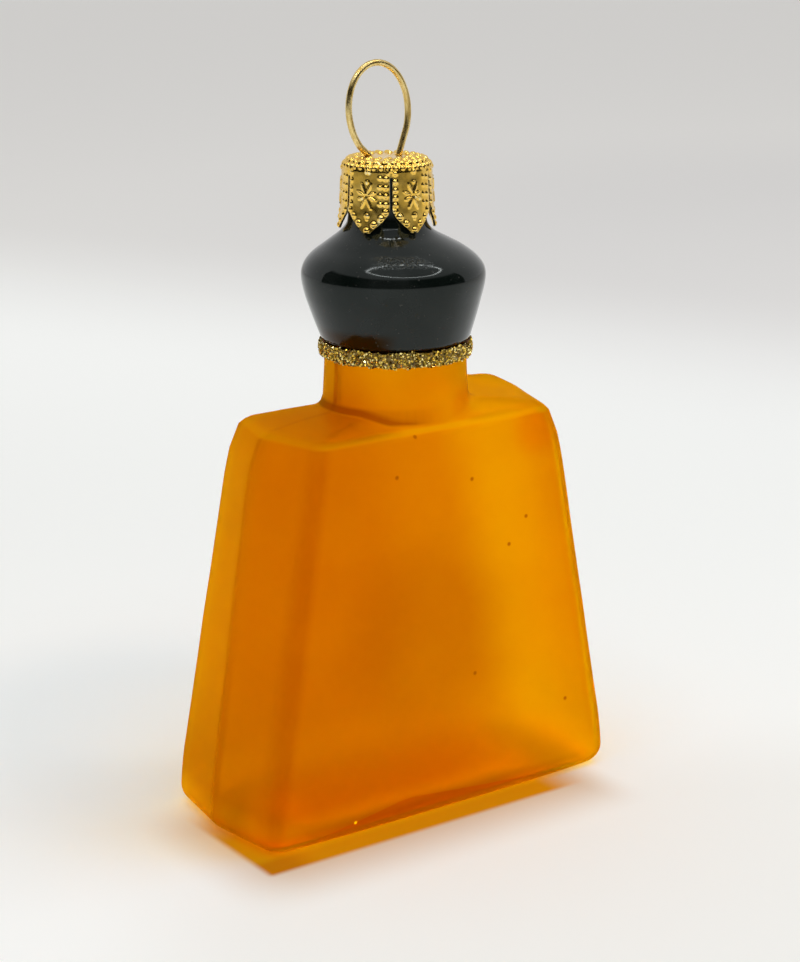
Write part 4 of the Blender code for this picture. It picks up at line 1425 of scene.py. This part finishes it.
# %% Bind the pieces
BINDINGS = (
    (amber_body, "glass", "glass_shell", "amber_glass"),
    (black_lacquer, "glass", "black_coat", "black_lacquer"),
    (glue_ring, "glass", "glitter_band", "gold_glitter"),
    (crown_cap, "cap", "crown_cap", "stamped_brass"),
    (hanger_wire, "hanger", "hanger_wire", "brass_wire"),
)
for piece, body, node, slot in BINDINGS:
    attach(piece, body)
    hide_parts(node)
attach(glitter_flakes, "glass")
print(len(BINDINGS) + 1, "pieces bound")

# %% [markdown]
# ## The paper under it
#
# The bottle stands on a wide sheet of pale paper that fills the picture up to its top edge. The
# sheet is not one even white. It is painted a little greyer in front, to the right and on the left
# of the bottle, as painted shade, and darker and warmer towards its far end, painted shade where
# less light reached it. Its middle distance lay in brighter light, so there it shines faintly, as
# painted light.

# %% Tone and painted shade of the paper
PAPER_HALF_SIZE = 4
PAPER_SQUARES = 40
PAPER_WHITE = (0.98, 0.99, 0.97, 1)
PAPER_FAR_SHADE = (0.94, 0.925, 0.90, 1)
RIGHT_SHADE = (0.93, 0.93, 0.94, 1)
LEFT_SHADE = (0.89, 0.92, 0.94, 1)
FRONT_SHADE = (0.94, 0.935, 0.925, 1)
FAR_SLOPE, FAR_START, FAR_END = 0.5, 230 * MM, 430 * MM
BEHIND_SLOPE, ASIDE_SLOPE = 1.4, -0.71
RIGHT_SPOT = ((424, 250, 0), 360)
LEFT_SPOT = ((-18, 42, 0), 48)
FRONT_ZONE = (50 * MM, -9 * MM)
FRONT_SIDE = (-52 * MM, -18 * MM)
BRIGHT_START, BRIGHT_END = 163 * MM, 568 * MM
BRIGHT_GLOW = 0.10

net = bmesh.new()
bmesh.ops.create_grid(
    net,
    x_segments=PAPER_SQUARES,
    y_segments=PAPER_SQUARES,
    size=PAPER_HALF_SIZE,
)
paper_floor = piece_from(net, "paper_floor")
paper = Finish("pale_paper", 0.9, Specular_IOR_Level=0.05)
far_off, behind, aside = (
    paper.work_out("MULTIPLY_ADD", paper.y, slope, paper.x)
    for slope in (FAR_SLOPE, BEHIND_SLOPE, ASIDE_SLOPE)
)
far = paper.step(far_off, FAR_START, FAR_END)
front_shade_zone = paper.both(paper.step(behind, *FRONT_ZONE), paper.step(aside, *FRONT_SIDE))
# Painted shade: darker towards the far end, to the right, on the left and in front of the bottle.
tone = paper.tint(
    paper.blend(far, PAPER_WHITE, PAPER_FAR_SHADE),
    (paper.spot(*RIGHT_SPOT), RIGHT_SHADE),
    (paper.spot(*LEFT_SPOT), LEFT_SHADE),
    (front_shade_zone, FRONT_SHADE),
)
brighter = paper.step(behind, BRIGHT_START, BRIGHT_END, 0, BRIGHT_GLOW)
paper.use("Emission Strength", paper.both(brighter, paper.work_out("SUBTRACT", 1.0, far)))
print(f"a sheet of {2 * PAPER_HALF_SIZE} by {2 * PAPER_HALF_SIZE} m")

# %% [markdown]
# ### The amber glow on the paper
#
# Close in front of the bottle, no light reaches the paper except through the amber glass, so a
# narrow patch there glows amber, with a soft warm painted shadow round it. The patch is painted
# light, a tint in the paper's own finish, as far as it reached in the picture.

# %% Amber glow
GLOW_AMBER = (0.61, 0.25, 0.001, 1)
GLOW_AT_GLASS = (0.70, 0.39, 0.001, 1)
GLOW_HALO_SHADOW = (0.67, 0.53, 0.40, 1)
GLOW_END_TINT = (0.80, 0.68, 1, 1)
GLOW_LEFT, GLOW_RIGHT = -31.3 * MM, 19.0 * MM
GLOW_FRONT, GLOW_BACK = -16.1 * MM, 1.5 * MM
FADE_RIGHT, FADE_BACK = 3.5 * MM, 6.0 * MM
LEFT_REACH_SHARE = 0.6
HALO_REACH, HALO_SOFTNESS = 4.6 * MM, 7.0 * MM
GLOW_SOFTNESS = 0.7 * MM
UNDER_GLASS_SIDE = (-27 * MM, -24 * MM)
UNDER_GLASS_FRONT = (-9.3 * MM, -7.5 * MM, 0, 0.9)
AT_GLASS = (-13.2 * MM, -11.0 * MM)
GLOW_END = (-22 * MM, -28 * MM)


def glow_patch(reach, softness):
    """The lit patch, wider than the glow by a reach and with a soft edge."""
    left, right = GLOW_LEFT - LEFT_REACH_SHARE * reach, GLOW_RIGHT + reach
    front, back = GLOW_FRONT - reach, GLOW_BACK + reach
    left_and_front = paper.zone(
        x=(left - softness, left + softness),
        y=(front - softness, front + softness),
    )
    right_and_back = paper.zone(
        x=(right + FADE_RIGHT, right - FADE_RIGHT),
        y=(back + FADE_BACK, back - FADE_BACK),
    )
    return paper.both(left_and_front, right_and_back)


under_glass = paper.zone(x=UNDER_GLASS_SIDE, y=UNDER_GLASS_FRONT)
# Painted light: the amber patch in front of the bottle, left out under the glass.
glow = paper.both(glow_patch(0, GLOW_SOFTNESS), paper.work_out("SUBTRACT", 1.0, under_glass))
amber = paper.blend(paper.zone(y=AT_GLASS), GLOW_AMBER, GLOW_AT_GLASS)
amber = paper.tint(amber, (paper.zone(x=GLOW_END), GLOW_END_TINT))
# Painted shadow: a soft warm halo round the amber patch.
tone = paper.blend(glow_patch(HALO_REACH, HALO_SOFTNESS), tone, GLOW_HALO_SHADOW)
paper.use("Base Color", paper.blend(glow, tone, amber))
paper.bump([(paper.noise(0.8, 3), 0.05)], 0.05)
paper.cover(paper_floor)
print(len(paper.nodes), "nodes in the paper")

# %% [markdown]
# ## The light
#
# Three soft lights make the picture. The room is an even white that reaches every side, a little
# brighter where gold and lacquer mirror it, and behind the paper's far edge. A soft sun from the
# right throws the pale shadow to the left. The oval lamp of the next cell is the third.

# %% Room and sun
ROOM_STRENGTH = 0.49
MORE_IN_SHINE = 0.23
MORE_BEHIND = 0.09
SUN_STRENGTH = 0.6
SUN_ANGLE = math.radians(24)
SUN_ELEVATION = math.radians(58)
SUN_HEADING = math.radians(-17.5)
RAY_SHARES = (
    ("Is Glossy Ray", MORE_IN_SHINE),
    ("Is Transmission Ray", -MORE_IN_SHINE),
    ("Is Camera Ray", MORE_BEHIND),
)

room = bpy.data.worlds.new("soft_room")
room.use_nodes = True
board = Board(room.node_tree)
walls = board.nodes["Background"]
ray = board.nodes.new("ShaderNodeLightPath")
strength = ROOM_STRENGTH
for kind, more in RAY_SHARES:
    strength = board.work_out("MULTIPLY_ADD", ray.outputs[kind], more, strength)
board.feed(walls.inputs["Color"], (1, 1, 1, 1))
board.feed(walls.inputs["Strength"], strength)
scene.world = room

sun = bpy.data.lights.new("soft_sun", "SUN")
sun.energy = SUN_STRENGTH
sun.angle = SUN_ANGLE
key = bpy.data.objects.new("soft_sun", sun)
to_sun = direction(SUN_HEADING, SUN_ELEVATION)
key.rotation_euler = to_sun.to_track_quat("Z", "Y").to_euler()
key.visible_glossy = False
scene.collection.objects.link(key)
print("the sun shines from", tuple(round(part, 2) for part in to_sun))

# %% [markdown]
# ### Lamp and card
#
# An oval tube lamp hangs in front, and the lacquer shows its thin bright ring. A black card bent
# round the front is seen only in reflections. It gives the lacquer its dark band, and the gold its
# contrast, for gold looks like gold only when it mirrors something dark beside something bright.

# %% Lamp and card
LAMP_CENTRE = Vector((18.5, -147, 630)) * MM
LAMP_HEADING = math.radians(-17.1)
LAMP_HALF_LENGTH = 369 * MM
LAMP_NEAR = 405 * MM
LAMP_FAR = 110 * MM
LAMP_TUBE = 18 * MM
LAMP_STRENGTH = 19
LAMP_STEPS = 96
CARD_RADIUS = 550 * MM
CARD_HALF_TURN = math.radians(98)
CARD_LEVELS = (20 * MM, 250 * MM, 520 * MM)
CARD_FADE_FOOT = 50 * MM
CARD_FADE_TOP = 120 * MM
CARD_STEPS = 48
CARD_BLACK = (0.004, 0.004, 0.004, 1)

along = direction(LAMP_HEADING, 0)
nearer = direction(LAMP_HEADING - math.pi / 2, 0)
lamp_rings = []
for wider in (0, LAMP_TUBE):
    ring = []
    for angle in all_round(LAMP_STEPS):
        depth = LAMP_NEAR if math.sin(angle) > 0 else LAMP_FAR
        aside = along * (LAMP_HALF_LENGTH + wider) * math.cos(angle)
        ring.append(LAMP_CENTRE + aside + nearer * (depth + wider) * math.sin(angle))
    lamp_rings.append(ring)
net = bmesh.new()
join_rings(net, rows_of(net, lamp_rings))
oval_lamp = piece_from(net, "oval_lamp")
tube_light = Finish(
    "tube_light",
    0.5,
    Base_Color=(0, 0, 0, 1),
    Emission_Color=(1, 1, 1, 1),
    Emission_Strength=LAMP_STRENGTH,
)
tube_light.cover(oval_lamp)
oval_lamp.visible_camera = False

card_turns = np.linspace(-CARD_HALF_TURN, CARD_HALF_TURN, CARD_STEPS + 1)
card_bow = circle(math.atan2(to_camera.y, to_camera.x) + card_turns, CARD_RADIUS)
net = bmesh.new()
rows = rows_of(net, [at_level(card_bow, level) for level in CARD_LEVELS])
for low, high in zip(rows, rows[1:]):
    for i in range(CARD_STEPS):
        net.faces.new((low[i], low[i + 1], high[i + 1], high[i]))
black_card = piece_from(net, "black_card")
card = Finish("black_card", 1.0, Base_Color=CARD_BLACK, Specular_IOR_Level=0)
card_foot = card.zone(z=(CARD_LEVELS[0], CARD_LEVELS[0] + CARD_FADE_FOOT))
card_top = card.zone(z=(CARD_LEVELS[2], CARD_LEVELS[2] - CARD_FADE_TOP))
card.use("Alpha", card.both(card_foot, card_top))
card.cover(black_card)
black_card.visible_camera = False
black_card.visible_diffuse = False
black_card.visible_transmission = False
black_card.visible_shadow = False
print("lamp", oval_lamp.dimensions[:], "card", black_card.dimensions[:])

# %% [markdown]
# ## Last settings
#
# Glass inside glass needs light to be followed through many surfaces, and the denoiser clears the
# last grain. The colours are shown as they are, without a film look.

# %% Finish
scene.cycles.use_denoising = True
scene.cycles.max_bounces = 16
scene.cycles.transmission_bounces = 16
scene.cycles.transparent_max_bounces = 24
scene.view_settings.view_transform = "Standard"
